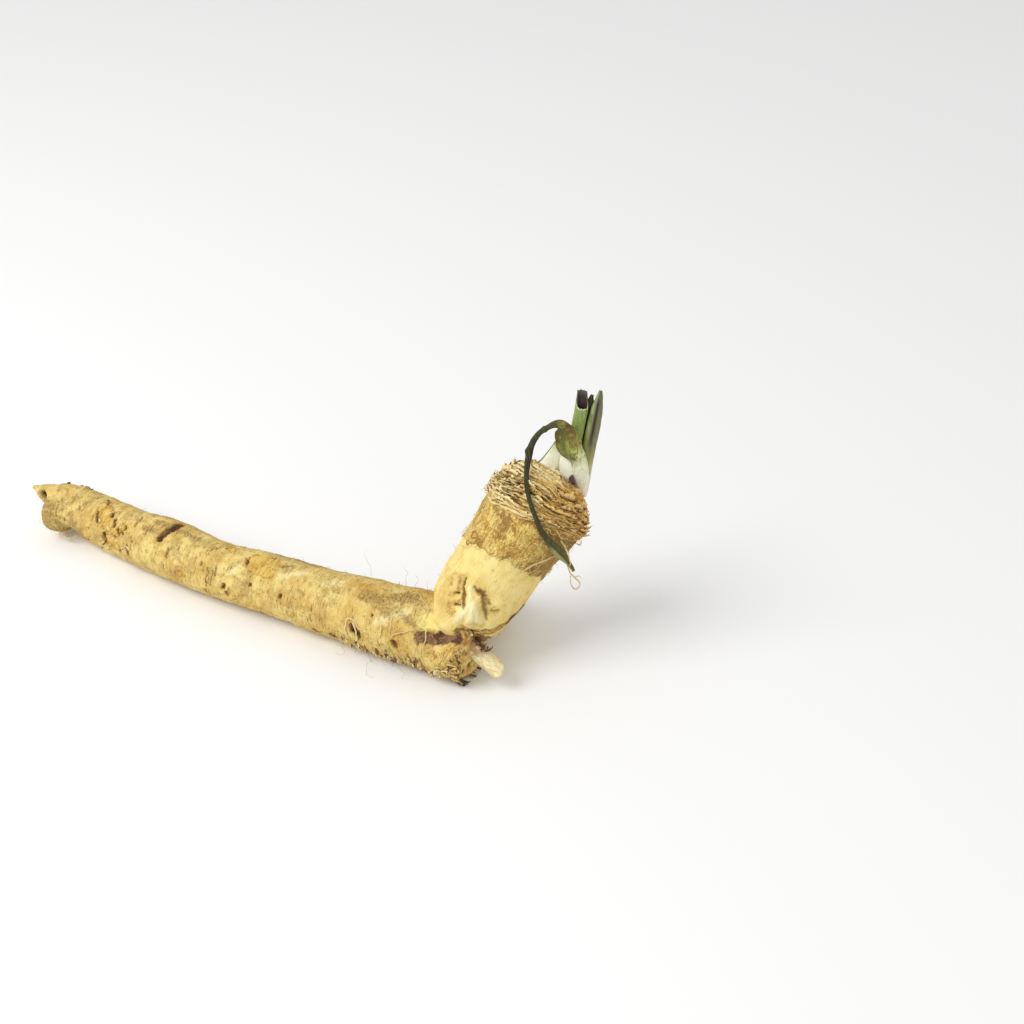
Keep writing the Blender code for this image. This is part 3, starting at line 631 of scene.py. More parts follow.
# The crown: height up its lean, and radius.
CROWN_GIRTH = np.array(
    (
        (-0.0222, 0.0000),
        (-0.0217, 0.0060),
        (-0.0195, 0.0122),
        (-0.0145, 0.0175),
        (-0.0070, 0.0206),
        (0.0040, 0.0217),
        (0.0160, 0.0213),
        (0.0280, 0.0214),
        (0.0380, 0.0226),
        (0.0450, 0.0239),
        (0.0510, 0.0238),
        (0.0570, 0.0217),
        (0.0615, 0.0177),
        (0.0650, 0.0120),
        (0.0672, 0.0058),
        (0.0678, 0.0000),
    )
)
CROWN_LUMPS, CROWN_RADIUS = 0.026, 0.0215
CROWN_START, CROWN_TOP = CROWN_GIRTH[0, 0], CROWN_GIRTH[-1, 0]
# Its folds and swellings: height, angle from the front, length, spread, depth.
CROWN_FOLDS = (
    (-0.0010, 353, 0.0095, 8, 0.0022),
    (0.0015, 32, 0.0050, 9, 0.0032),
    (-0.0040, 42, 0.0060, 8, 0.0018),
    (0.0010, 52, 0.0030, 8, 0.0018),
    (-0.0060, 21, 0.0085, 12, -0.0016),
    (-0.0195, 359, 0.0070, 36, -0.0085),
    (-0.0070, 300, 0.0120, 30, 0.0016),
    (-0.0060, 96, 0.0150, 42, 0.0022),
    (0.0100, 178, 0.0090, 26, 0.0022),
    (-0.0020, 215, 0.0090, 20, -0.0018),
    (0.0300, 240, 0.0080, 24, 0.0012),
)
# Where the peeling skin starts and the step it makes, where the scales start and how far apart they stand,
# and how far their rings tilt and wander.
SKIN_FROM, SKIN_STEP, SKIN_EDGE = 0.0228, 0.0005, 0.0006
SCALES_FROM, SCALE_PITCH, SCALE_DEPTH = 0.0462, 0.0036, 0.0016
RING_TILT, RING_LOW_ANGLE, RING_WANDER = 0.0034, 275, 0.0026
TILT_FROM, TILT_FULL = 0.004, 0.018
CROWN_SIDES, CROWN_ROWS = 320, 270
# Marks of the crown, as strokes: mm up its middle line and degrees round, and half the width in mm.
FOOT_CRACK = (
    (6.5, 342, 1.5, 349, 1.5), (0.5, 350, -3.0, 343, 3.0), (-4.5, 0, -7.8, 352, 3.4),
    (-8.2, 354, -10.0, 1, 2.6), (3.0, 333, 1.0, 336, 1.0),
)
# The crack's dark edge runs down a deep crevice: painted shade.
SHADED_CRACK_EDGE = (
    (7.2, 347, 1.8, 356, 0.7), (1.8, 356, -4.6, 9, 1.1),
    (-0.6, 352, -1.4, 346, 0.6), (-5.4, 4, -6.4, 356, 0.7),
)
FOLD = (
    (4.5, 2, -1.6, 13, 1.9), (-1.6, 14, -11.0, 10, 3.2),
    (-1.6, 15, -10.0, 25, 3.6), (-1.0, 17, -7.5, 37, 2.8),
)
# The crease beside the fold, sunk and painted dark brown as shade.
SHADED_CREASE = (
    (5.9, 8, 4.6, 18, 0.9), (4.6, 18, 1.6, 29, 1.2), (1.6, 29, -1.6, 39, 1.1), (-1.6, 39, -4.6, 46, 0.9),
)
# The hollow right of the crease, sunk and painted dark brown: soil and painted shade.
HOLLOW_SOIL_AND_SHADE = (
    (5.6, 15, 3.8, 27, 2.0), (3.8, 27, 2.4, 35, 1.6), (0.2, 46, 2.8, 53, 1.0), (1.6, 44, 2.6, 46, 0.7),
)
SOILED = (
    (3.0, 328, -9.0, 338, 7.0), (4.5, 24, -1.5, 44, 3.4),
    (-2.0, 46, 1.5, 50, 2.6), (-10.5, 20, -8.0, 46, 2.2),
)
DIMPLES = ((16.7, 14, 16.8, 14, 0.7), (12.0, 322, 12.2, 322, 0.5), (21.0, 340, 21.2, 341, 0.5))
# A deep crevice low on the crown's foot, sunk and painted near black as shade.
SHADED_CREVICE = ((-16.4, 18, -13.6, 33, 1.8), (-13.6, 33, -11.6, 43, 1.5))
# The torn rim under the foot: metres up and degrees round.
RIM = (
    (-0.0158, 24), (-0.0130, 39), (-0.0108, 50), (-0.0090, 61),
    (-0.0058, 73), (-0.0020, 85), (0.0044, 92), (0.0090, 96),
)
# Holes in the crown's top, where leaves have rotted out. They are painted near black as shade.
LEAF_HOLES = (
    (52.8, 306, 53.8, 311, 1.7), (52.4, 324, 53.2, 331, 1.8), (49.6, 314, 50.4, 319, 1.5),
    (51.8, 341, 52.6, 347, 1.6), (55.6, 330, 56.2, 337, 1.3), (49.4, 332, 50.0, 338, 1.2),
    (54.8, 352, 55.4, 358, 1.3), (50.6, 298, 51.2, 302, 1.2), (57.0, 10, 57.6, 18, 1.2),
    (55.0, 62, 54.0, 70, 1.3),
)


def crown_line(s):
    """The crown's middle, s from its foot."""
    share = (np.maximum(s, 0.0) / CROWN_TOP)[..., None]
    return CROWN_FOOT + CROWN_LEAN * s[..., None] + CROWN_BEND * share * share


# The crown's outline: length along its skin, height and radius at points close together.
share = (1 - np.cos(np.linspace(0, math.pi, 301))) / 2
heights = CROWN_START + (CROWN_TOP - CROWN_START) * share
radii = through(CROWN_GIRTH, heights)
lengths = np.concatenate([[0.0], np.cumsum(np.hypot(np.diff(heights), np.diff(radii)))])
neck = np.argmax(heights >= 0.0)
OUTLINE = np.stack([lengths - lengths[neck] + heights[neck], heights, radii], axis=-1)


def crown_skin(length, angle, rise):
    """Points of the crown's skin, and which way is out there. Rise lifts them off it."""
    turn = np.stack([np.cos(angle), np.sin(angle)], axis=-1)
    start = np.clip((length - TILT_FROM) / (TILT_FULL - TILT_FROM), 0, 1)
    small = through(OUTLINE, length, 2) / radii.max()
    tilt = RING_TILT * np.cos(angle - math.radians(RING_LOW_ANGLE))
    wander = np.concatenate([turn * 1.5, length[..., None] * 70], axis=-1)
    wander = np.array([noise.noise(p) for p in map(Vector, wander.reshape(-1, 3))]).reshape(length.shape)
    line = length - start * small * (tilt - RING_WANDER * wander)
    s, radius = through(OUTLINE, line, 1), through(OUTLINE, line, 2)
    climb = through(OUTLINE, line + NEAR, 1) - through(OUTLINE, line - NEAR, 1)
    widen = through(OUTLINE, line + NEAR, 2) - through(OUTLINE, line - NEAR, 2)
    tangent = heading(crown_line, s)
    first, second = sides_of(tangent)
    away = first * turn[..., :1] + second * turn[..., 1:]
    normal = unit(away * climb[..., None] - tangent * widen[..., None])
    lumpy = lumps(np.concatenate([turn * 0.9, s[..., None] * 45], axis=-1))
    radius = np.maximum(radius * (1 + CROWN_LUMPS * lumpy) - dents(CROWN_FOLDS, s, angle), NEAR)
    return crown_line(s) + away * radius[..., None] + normal * rise[..., None], normal, s


angles = np.linspace(0, math.tau, CROWN_SIDES, endpoint=False)
rows = np.linspace(OUTLINE[0, 0] + 0.0004, OUTLINE[-1, 0] - 0.0004, CROWN_ROWS)
length, angle = np.meshgrid(rows, angles, indexing="ij")
rings, normal, s = crown_skin(length, angle, np.zeros(length.shape))
sideways = np.cross(CROWN_LEAN, UP)
own_axes = np.stack([CROWN_LEAN, unit(sideways), unit(np.cross(CROWN_LEAN, sideways))], axis=1)
place = (rings - CROWN_FOOT) @ own_axes
fray = grain(place * 900, 11) * 0.5 + grain(place * 350, 12) * 0.4
# The peeling skin stands a step above the smooth neck, with a torn edge.
edge = SKIN_FROM + fray * 0.0026 + 0.0030 * grain(place * 95, 13)
peel = smooth(length, edge, edge + SKIN_EDGE)
# The scales: each ring rises to a torn edge and drops to the next.
ring = (length - SCALES_FROM + 0.0012 * grain(round_place(angle, 5, length * 420), 14)) / SCALE_PITCH
row = np.floor(ring)
climb = ring - row
in_scales = smooth(ring, -0.15, 0.1)
coarse = grain(round_place(angle, 3.2, row * 5 + 0.5), 15)
ragged = grain(round_place(angle, 22, row * 7 + climb), 16)
profile = -0.25 + 1.15 * climb**0.8 - 1.1 * smooth(climb, 0.90, 1.0)
scale = in_scales * profile * (0.85 + 0.8 * coarse + 0.35 * ragged)
# Under each scale's torn edge, where its ring drops to the next, the skin is painted dark as shade.
under = in_scales * smooth(np.abs(climb - 0.5), 0.36, 0.5) * (climb < 0.5)
under = under + in_scales * smooth(climb, 0.95, 1.0)
strayed = (
    s + 0.0011 * grain(place * 210, 24) + 0.0005 * grain(place * 600, 25),
    angle + (0.0011 * grain(place * 210, 26) + 0.0005 * grain(place * 600, 27)) / CROWN_RADIUS,
)
foot_crack = strokes(FOOT_CRACK, *strayed, CROWN_RADIUS, fray * 0.9, 1.0)
crack_edge = strokes(SHADED_CRACK_EDGE, *strayed, CROWN_RADIUS, fray * 0.6, 0.6)
fold = strokes(FOLD, *strayed, CROWN_RADIUS, 0.0, 1.0)
crease = strokes(SHADED_CREASE, *strayed, CROWN_RADIUS, fray * 0.4, 0.9)
hollow = strokes(HOLLOW_SOIL_AND_SHADE, *strayed, CROWN_RADIUS, fray * 0.9, 0.9)
soiled = strokes(SOILED, *strayed, CROWN_RADIUS, fray * 0.9, 1.0)
dimple = strokes(DIMPLES, *strayed, CROWN_RADIUS, fray * 0.6, 0.9)
crevice = strokes(SHADED_CREVICE, *strayed, CROWN_RADIUS, fray * 0.7, 0.6)
pit = strokes(LEAF_HOLES, *strayed, CROWN_RADIUS, fray * 0.9, 0.5)
turned_right = turned_from(0, angle)
torn_foot = smooth(-strayed[0] + 0.0012 * fray, 0.0112, 0.0128) * smooth(turned_right, 12, 24)
rim_line = [(low / MM, first, high / MM, last, 1.5) for (low, first), (high, last) in itertools.pairwise(RIM)]
torn_foot = np.maximum(torn_foot, strokes(rim_line, *strayed, CROWN_RADIUS, fray * 0.8, 0.7))
torn_foot *= 1 - smooth(np.abs(turned_right - 20), 100, 120)
fibre = grain(place * (900, 150, 150), 17)
rough = np.clip(peel - in_scales, 0, 1)
# The relief of the crown, in metres.
rise = SKIN_STEP * peel + SCALE_DEPTH * scale
rise += 0.00016 * grain(place * 260, 18) + rough * (0.00035 * fibre + 0.0004 * grain(place * 190, 19))
rise += in_scales * 0.0003 * fibre - 0.0022 * pit - 0.0009 * crevice
rise += torn_foot * (-0.0005 + 0.0011 * grain(place * (700, 160, 160), 29))
rise += -0.0007 * foot_crack + foot_crack * 0.0010 * grain(place * 420, 20) - 0.0018 * crack_edge
rise += 0.0009 * fold - 0.0013 * crease - 0.0009 * hollow - 0.0005 * dimple
rise += (0.0003 * grain(place * 120, 28) + 0.00025 * grain(place * (90, 420, 420), 30)) * (1 - peel)
rings = rings + normal * rise[..., None]
points, faces = closed(rings, crown_line(np.array((CROWN_START, CROWN_TOP))))


def with_tips(values):
    """Values of the crown's rings with one more for each of its two tips."""
    wide = np.asarray(values).reshape(CROWN_ROWS * CROWN_SIDES, -1)
    wide = np.concatenate([wide, wide[:1], wide[-1:]])
    return wide[:, 0] if wide.shape[1] == 1 else wide


STRAW = (0.86, 0.69, 0.32)
FIBRE_BROWN = (0.34, 0.185, 0.042)
WHITISH = (0.88, 0.80, 0.48)

crown_finish, start, spot = started("crown_skin", "place")
cloud, patch, crumb = spot.mottle(13), spot.mottle(3.6, 4.0), spot.mottle(0.9, 3.0)
broad, speck, flake = spot.mottle(6.5, 4.0), spot.mottle(0.4, 1.0), spot.mottle(2.1, 3.0)
strand_line = spot.stretched(1.7, 0.16, 0.16).mottle(1.0, 3.0)
fine_line = spot.stretched(3.6, 0.35, 0.35).mottle(1.0, 2.0)
down = spot.stretched(0.16, 1.1, 1.1).mottle(1.0, 3.0)
crackle = flake.between(0.44, 0.485) * (1 - flake.between(0.50, 0.545))
colour = start.mixed(cloud.between(0.42, 0.64), (0.84, 0.67, 0.245), (0.76, 0.57, 0.180))
colour = colour.painted(
    (patch.between(0.54, 0.72) * 0.35, (0.56, 0.36, 0.095)),
    (broad.between(0.48, 0.34) * 0.35, (0.84, 0.70, 0.32)),
    (start.field("fold") * 0.75, WHITISH),
    (down.between(0.54, 0.66) * 0.28, TAN),
    (broad.between(0.54, 0.64) * (0.15 + crumb.between(0.45, 0.6) * 0.3), (0.56, 0.42, 0.15)),
    (crumb.between(0.64, 0.76) * 0.5, BROWN),
)
rough_colour = start.mixed(broad.between(0.42, 0.56), (0.89, 0.665, 0.190), (0.70, 0.435, 0.092))
rough_colour = rough_colour.painted(
    (patch.between(0.50, 0.38) * 0.6, (0.82, 0.63, 0.22)),
    (down.between(0.53, 0.60) * 0.6, FIBRE_BROWN),
    (start.field("shaded") * (0.40 + patch * 0.6), (0.31, 0.155, 0.034)),
    (cloud.between(0.50, 0.56) * patch.between(0.42, 0.50) * 0.7, (0.30, 0.155, 0.036)),
    (crackle * patch.between(0.42, 0.58) * 0.75, (0.36, 0.175, 0.040)),
    (speck.between(0.60, 0.70) * 0.5, BROWN),
    (crumb.between(0.64, 0.72) * 0.7, DARK),
)
colour = colour.painted((start.field("rough"), rough_colour))
red = start.field("reddish")
scale_colour = start.mixed(strand_line.between(0.44, 0.58), STRAW, (0.64, 0.40, 0.105))
scale_colour = scale_colour.painted(
    (red * (0.45 + patch * 0.6), (0.72, 0.38, 0.070)),
    (red * strand_line.between(0.48, 0.56) * 0.85, (0.26, 0.085, 0.018)),
    (fine_line.between(0.52, 0.60) * 0.5, FIBRE_BROWN),
    (strand_line.between(0.57, 0.64) * 0.85, DARK),
    # Painted shade under each scale's torn edge.
    (start.field("under") * (0.45 + patch * 0.6), DARK),
)
colour = colour.painted(
    (start.field("scales"), scale_colour),
    (start.field("soiled") * (0.35 + patch.between(0.40, 0.60) * 0.4), (0.56, 0.38, 0.10)),
    (start.field("foot_crack") * (0.35 + patch.between(0.40, 0.56) * 0.55), (0.58, 0.34, 0.090)),
    (start.field("foot_crack") * crumb.between(0.50, 0.60) * 0.65, (0.30, 0.145, 0.038)),
    # Painted shade in the crease beside the fold.
    (start.field("crease") * 0.75, (0.24, 0.125, 0.035)),
    # Soil and painted shade in the hollow beside the crease.
    (start.field("hollow") * (0.45 + patch.between(0.40, 0.56) * 0.5), (0.27, 0.140, 0.038)),
    (start.field("dimple") * (0.35 + crumb * 0.5), (0.30, 0.175, 0.055)),
    # Painted shade down the deep crevice at the crack's edge.
    (start.field("crack_edge") * 0.80, (0.16, 0.075, 0.022)),
    # Painted shade in the crevice low on the foot.
    (start.field("crevice") * 0.9, (0.09, 0.042, 0.015)),
    (start.field("torn_foot") * 0.9, (0.52, 0.31, 0.075)),
    (start.field("torn_foot") * fine_line.between(0.44, 0.56) * 0.9, (0.15, 0.075, 0.025)),
    # Painted shade: the leaf holes are near black.
    (start.field("pit") * 0.95, (0.030, 0.014, 0.007)),
)
in_rough, on_scales = start.field("rough"), start.field("scales")
height = crumb * (0.45 + in_rough * 0.9 + on_scales * 0.9) + patch * 0.4
height = height + (in_rough * down + on_scales * (strand_line + fine_line * 0.5)) * 1.6
height = height + in_rough * (flake * 0.9 - crackle * 0.35)
ended(start, colour, 0.64 + crumb * 0.25, height, 0.00055, Specular_IOR_Level=0.28)

turn = np.degrees(angle)
reddish = smooth(turned_right, -28, 42) * smooth(length, 0.040, 0.050)
shaded = smooth(turn + 500 * (length - 0.034), 20, 80) * (1 - smooth(turn, 190, 250))
masks = dict(fold=fold, rough=rough, scales=in_scales, under=under, foot_crack=foot_crack, crease=crease)
masks.update(hollow=hollow, soiled=soiled, dimple=dimple, crack_edge=crack_edge, crevice=crevice, pit=pit)
masks.update(reddish=reddish, shaded=shaded, torn_foot=torn_foot)
masks = {name: with_tips(values) for name, values in masks.items()}
crown = grown("crown", points, faces, crown_finish, "root_skin", place=with_tips(place) / MM, **masks)
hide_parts("root")

# The torn rings of old leaf feet: each year's leaves rotted off and left a low torn collar of dry fibrous
# skin. The collars stand one above the other, straw on the weathered side and red-brown on the other.
draw = random.Random(11)
# The rows of a collar: share of its height, and how far it stands off the crown there.
COLLAR_SHEET = ((0.0, 0.0002), (0.35, 0.0006), (0.7, 0.0010), (1.0, 0.0011))


def filled(rows, count):
    """Rows of numbers, filled in smoothly to a count of rows."""
    keys = np.column_stack([np.arange(len(rows)), np.asarray(rows, float)])
    t = np.linspace(0, len(rows) - 1, count)
    return np.stack([through(keys, t, column) for column in range(1, keys.shape[1])], axis=-1)


def sheet_faces(high, wide):
    """Faces of an open sheet of rows of points."""
    here = np.arange(high * wide).reshape(high, wide)
    corners = (here[:-1, :-1], here[:-1, 1:], here[1:, 1:], here[1:, :-1])
    return np.stack(corners, axis=-1).reshape(-1, 4).tolist()


def strand(path, radii, sides):
    """A thin round strand along a path of points."""
    path = np.asarray(path, float)
    tangents = unit(np.gradient(path, axis=0) + 1e-9)
    facing = np.linalg.svd(tangents)[2][-1]
    angles = np.linspace(0, math.tau, sides, endpoint=False)
    reach = np.broadcast_to(np.asarray(radii, float)[:, None], (len(path), sides))
    return closed(rings_round(path, tangents, reach, angles, facing), (path[0], path[-1]))


collars, collar_tone, collar_edge, collar_red = [], [], [], []
last_row = int((OUTLINE[-1, 0] - SCALES_FROM) / SCALE_PITCH) - 1
for half_row in range(2 * last_row):
    base = SCALES_FROM + SCALE_PITCH * (half_row / 2 + 0.30)
    from_axis = through(OUTLINE, base, 2)
    turned = draw.uniform(0, math.tau)
    end = turned + math.tau
    while turned < end:
        wide = draw.uniform(0.004, 0.022)
        span = wide / max(from_axis, 0.004)
        steps = max(5, int(wide / 0.0006))
        shares = np.linspace(0, 1, steps)
        around = turned + span * shares
        place = round_place(around, 26, half_row * 3.0)
        fringe = 0.70 + 0.45 * grain(place, 31) + 0.22 * grain(place * 2.7, 32)
        arch = np.sin(math.pi * np.clip(shares, 0.04, 0.96)) ** 0.35
        tall = draw.uniform(0.0010, 0.0036) * np.clip(fringe, 0.12, 1.4) * arch
        lean = draw.uniform(0.15, 1.0)
        start_at = base + draw.uniform(-0.0008, 0.0008)
        at_edge = crown_skin(start_at + tall * 0.6, around, np.zeros(steps))[2]
        tall = tall * (1 - 0.97 * strokes(LEAF_HOLES, at_edge, around, CROWN_RADIUS, 0.35, 0.4))
        sheet = []
        for up, out_by in COLLAR_SHEET:
            rise = np.full(steps, 0.0008 + out_by) + tall * lean * up**1.4
            sheet.append(crown_skin(start_at + tall * up * (1 - 0.3 * lean), around, rise)[0])
        collars.append((np.concatenate(sheet), sheet_faces(len(sheet), steps)))
        collar_tone.append(np.full(len(sheet) * steps, draw.random()))
        collar_edge.append(np.repeat([up for up, _ in COLLAR_SHEET], steps))
        collar_red.append(np.full(len(sheet) * steps, smooth(turned_from(0, turned + span / 2), -20, 48)))
        turned += span * draw.uniform(0.75, 1.15)

collar_finish, start, spot = started("leaf_collar")
crumb, streak, wide_streak = spot.mottle(0.0011, 3.0), spot.mottle(0.0035, 3.0), spot.mottle(0.0065, 3.0)
tone, red = start.field("tone"), start.field("red")
colour = start.mixed(tone.between(0.15, 0.85), (0.95, 0.82, 0.44), (0.78, 0.54, 0.160))
colour = colour.painted(
    (tone.between(0.75, 0.9) * 0.7, FIBRE_BROWN),
    (red * (0.55 + tone * 0.4), (0.90, 0.53, 0.110)),
    (red * streak.between(0.54, 0.60) * 0.75, (0.42, 0.16, 0.030)),
    (red * wide_streak.between(0.55, 0.61) * 0.6, (0.19, 0.065, 0.016)),
    ((1 - red) * wide_streak.between(0.53, 0.60) * 0.35, (0.42, 0.26, 0.085)),
    (streak.between(0.54, 0.66) * 0.3, FIBRE_BROWN),
    (crumb.between(0.60, 0.70) * 0.5, BROWN),
    # Painted shade: each collar is dark at its foot, where it meets the crown.
    ((1 - start.field("edge").between(0.10, 0.55)) * 0.92, (0.05, 0.022, 0.009)),
)
ended(start, colour, 0.7 + crumb * 0.2, crumb + streak, 0.0004, Specular_IOR_Level=0.3)
points, faces = gathered(collars)
grown(
    "leaf_collars", points, faces, collar_finish, "root_skin",
    tone=np.concatenate(collar_tone), edge=np.concatenate(collar_edge), red=np.concatenate(collar_red),
)

# Dry fibres: the tough threads of the rotted skin and leaf feet. They are still rooted in the crown, lie over
# it and stand off a little.
fibres, fibre_tone = [], []


def tapered(shares):
    """1 along a strand, and less at both its ends."""
    return np.sqrt(np.clip(1 - (2 * shares - 1) ** 4, 0.03, 1))


def crown_thread(length, angle, run, turn, lift, thick, count=9):
    """A thread that lies on the crown from a place, over run metres up and turn radians round."""
    shares = np.linspace(0, 1, count)
    sway = np.array([noise.noise(Vector((length * 900, angle * 9, s * 2.2))) for s in shares])
    lengths = length + run * shares + sway * 0.0016
    around = angle + turn * shares + sway * 0.03
    rise = lift * (0.35 + np.sin(math.pi * shares))
    return strand(crown_skin(lengths, around, rise)[0], thick * tapered(shares), 4)


for _ in range(260):
    length = draw.uniform(SCALES_FROM - 0.0015, OUTLINE[-1, 0] - 0.006)
    at = draw.uniform(0, 360)
    wide = draw.uniform(0.003, 0.012) / max(float(through(OUTLINE, length, 2)), 0.004)
    thick = draw.uniform(0.00009, 0.00026)
    run = draw.uniform(-0.001, 0.001)
    fibres.append(crown_thread(length, math.radians(at), run, wide, 0.0022, thick))
    fibre_tone.append(np.full(len(fibres[-1][0]), draw.uniform(0, 0.4) + 0.6 * (0 < at < 200)))
for _ in range(130):
    length = draw.uniform(SKIN_FROM, SCALES_FROM - 0.003)
    run, wide = draw.uniform(-0.006, 0.006), draw.uniform(-0.2, 0.2)
    thick = draw.uniform(0.00007, 0.00018)
    fibres.append(crown_thread(length, draw.uniform(0, math.tau), run, wide, 0.0011, thick))
    fibre_tone.append(np.full(len(fibres[-1][0]), draw.uniform(0.2, 1.0)))

fibre_finish, start, spot = started("dry_fibre")
crumb = spot.mottle(0.0012)
tone = start.field("tone")
colour = start.mixed(tone, (0.90, 0.76, 0.40), (0.70, 0.40, 0.090))
colour = colour.painted((crumb.between(0.55, 0.70) * 0.4, BROWN))
ended(start, colour, 0.75, crumb, 0.0001, Specular_IOR_Level=0.3)
points, faces = gathered(fibres)
grown("crown_fibres", points, faces, fibre_finish, "root_skin", tone=np.concatenate(fibre_tone))

# Strips of torn skin: the pale straw strip where the scales begin, and the striped torn rim that hangs under
# the crown's foot, over the bare end of the old root.
strips, strip_tone, strip_edge = [], [], []
# The lines that a strip's sheet is made of, as shares of its width to each side of its middle.
RIBBON_LINES = (-0.5, -0.2, 0.2, 0.5)


def ribbon(path, outward, wide, lift, tilt):
    """A thin strip along a path on a skin. Lift raises it and tilt raises its one edge more."""
    across = unit(np.cross(np.gradient(path, axis=0), outward))
    wide, lift = wide[:, None], lift[:, None]
    sheet = []
    for at in RIBBON_LINES:
        height = lift * (1 - 0.35 * abs(at) * 2) + tilt * at
        sheet.append(path + across * wide * at + outward * height)
    return np.concatenate(sheet), sheet_faces(len(sheet), len(path))


def crown_strip(rows, wide, lift, tilt, tone, wiggle=0.0006):
    """A strip round the crown through rows of its length and angle, in metres and degrees."""
    first, last = rows[0][1], rows[-1][1]
    angle = np.linspace(first, last, max(8, int(abs(last - first) * 0.7)))
    around = np.radians(angle)
    seed = draw.uniform(0, 90)
    shaken = np.stack([np.cos(around) * 6 + seed, np.sin(around) * 6, around * 0], axis=-1)
    length = through([(a, s) for s, a in rows], angle) + wiggle * grain(shaken, 33)
    path, outward, _ = crown_skin(length, around, np.zeros(len(angle)))
    shape = np.sin(math.pi * np.linspace(0.02, 0.98, len(angle))) ** 0.4
    widths = wide * shape * (0.8 + 0.5 * grain(shaken * 2.2, 34))
    lifts = lift * (0.8 + 0.6 * grain(shaken * 1.4, 35)) * (0.4 + 0.6 * shape)
    strips.append(ribbon(path, outward, widths, lifts, tilt))
    strip_tone.append(np.full(len(RIBBON_LINES) * len(angle), tone))
    strip_edge.append(np.repeat((0.0, 1.0, 1.0, 0.3), len(angle)))


# The straw strip lies in three layers, wide torn scales come next, and then the rim's nine rows.
STRAW_STRIP = ((0.0445, 303), (0.0456, 335), (0.0462, 351), (0.0474, 373), (0.0496, 404), (0.0504, 444))
for shift, wide, lift, tone in (
    (0.0, 0.0020, 0.0017, 0.05), (0.0016, 0.0013, 0.0022, 0.2), (-0.0012, 0.0010, 0.0012, 0.35),
):
    crown_strip([(s + shift, a) for s, a in STRAW_STRIP], wide, lift, 0.0007, tone)
for s, first, last, wide, tone in (
    (0.0480, 296, 340, 0.0015, 0.0), (0.0500, 290, 332, 0.0013, 0.05), (0.0522, 300, 345, 0.0014, 0.1),
    (0.0545, 305, 338, 0.0012, 0.05), (0.0515, 330, 372, 0.0013, 0.3), (0.0534, 345, 400, 0.0014, 0.35),
    (0.0556, 340, 392, 0.0013, 0.15), (0.0575, 350, 410, 0.0013, 0.4), (0.0520, 372, 430, 0.0015, 0.55),
    (0.0548, 400, 450, 0.0014, 0.75), (0.0500, 395, 440, 0.0013, 0.6), (0.0484, 400, 455, 0.0014, 0.8),
):
    middle = (first + last) / 2
    crown_strip([(s, first), (s + 0.0008, middle), (s + 0.0012, last)], wide, 0.0024, 0.0009, tone, 0.0010)
for row, tone in enumerate((0.6, 0.95, 0.65, 0.45, 0.8, 0.95, 0.5, 0.85, 0.65)):
    first, last = draw.choice((1, 2, 3)), draw.choice((6, 7, 8))
    rows = [(s - 0.0010 + 0.00036 * row, a) for s, a in RIM[first:last]]
    crown_strip(rows, draw.uniform(0.0007, 0.0013), draw.uniform(0.0003, 0.0012), 0.0006, tone, 0.0009)

# The old root's own torn edges: short pale strips of its cork skin, which came loose in the digging along its
# lower edge and round its bare end.


def shaft_skin(s, around):
    """Points of the old root's skin and the way out there, at metres along and radians round."""
    first, second = sides_of(heading(shaft_line, s))
    outward = first * np.cos(around)[:, None] + second * np.sin(around)[:, None]
    return shaft_line(s) + outward * shaft_reach(s, around)[:, None], outward


def wobble(t, seed, apart=0.0):
    """Smooth noise along a line. Lines that lie apart differ."""
    return grain(np.stack(np.broadcast_arrays(t, apart, 0.0), axis=-1), seed)


def shaft_strip(s, degrees, run, turn, wide, lift, tone, count=9):
    """A strip of skin on the old root from a place, over run metres along and turn degrees round."""
    shares = np.linspace(0, 1, count)
    seed = draw.uniform(0, 90)
    bend = wobble(shares * 2 + seed, 36)
    lengths = np.minimum(s + run * shares + 0.0010 * bend, SHAFT[-1, 0] + 0.0008)
    path, outward = shaft_skin(lengths, np.radians(degrees + turn * shares))
    strips.append(ribbon(path, outward, wide * tapered(shares), lift * (0.25 + shares**1.5), 0.0003))
    strip_tone.append(np.full(len(RIBBON_LINES) * count, tone))
    strip_edge.append(np.repeat((0.2, 1.0, 1.0, 0.5), count))


# Along the lower edge, then round the edge of the skin at the right end, then on the bare end itself.
for _ in range(150):
    s = draw.triangular(-0.050, 0.027, 0.010)
    tone = draw.choice((0.0, 0.1, 0.3, 0.5, 0.9, 0.95))
    lift = draw.uniform(0.0004, 0.0016)
    degrees = draw.uniform(16, 48)
    run, turn = draw.uniform(-0.0016, 0.0016), draw.uniform(5, 16)
    shaft_strip(s, degrees, run, turn, draw.uniform(0.0004, 0.0014), lift, tone)
for _ in range(60):
    degrees = draw.choice((draw.uniform(6, 120), draw.uniform(-110, -72)))
    s = float(through(SKIN_ENDS, degrees)) * MM - 0.001 + draw.uniform(-0.0015, 0.002)
    tone = draw.choice((0.0, 0.2, 0.5, 0.95))
    run, turn = draw.uniform(0.002, 0.006), draw.uniform(-10, 10)
    shaft_strip(s, degrees, run, turn, draw.uniform(0.0004, 0.0013), draw.uniform(0.0002, 0.0009), tone)
for _ in range(60):
    tone = draw.choice((0.3, 0.6, 0.95, 1.0))
    s, degrees = draw.uniform(0.0270, 0.0308), draw.uniform(-40, 75)
    run, turn = draw.uniform(0.001, 0.0035), draw.uniform(-22, 22)
    shaft_strip(s, degrees, run, turn, draw.uniform(0.0004, 0.0014), draw.uniform(0.0005, 0.0018), tone)
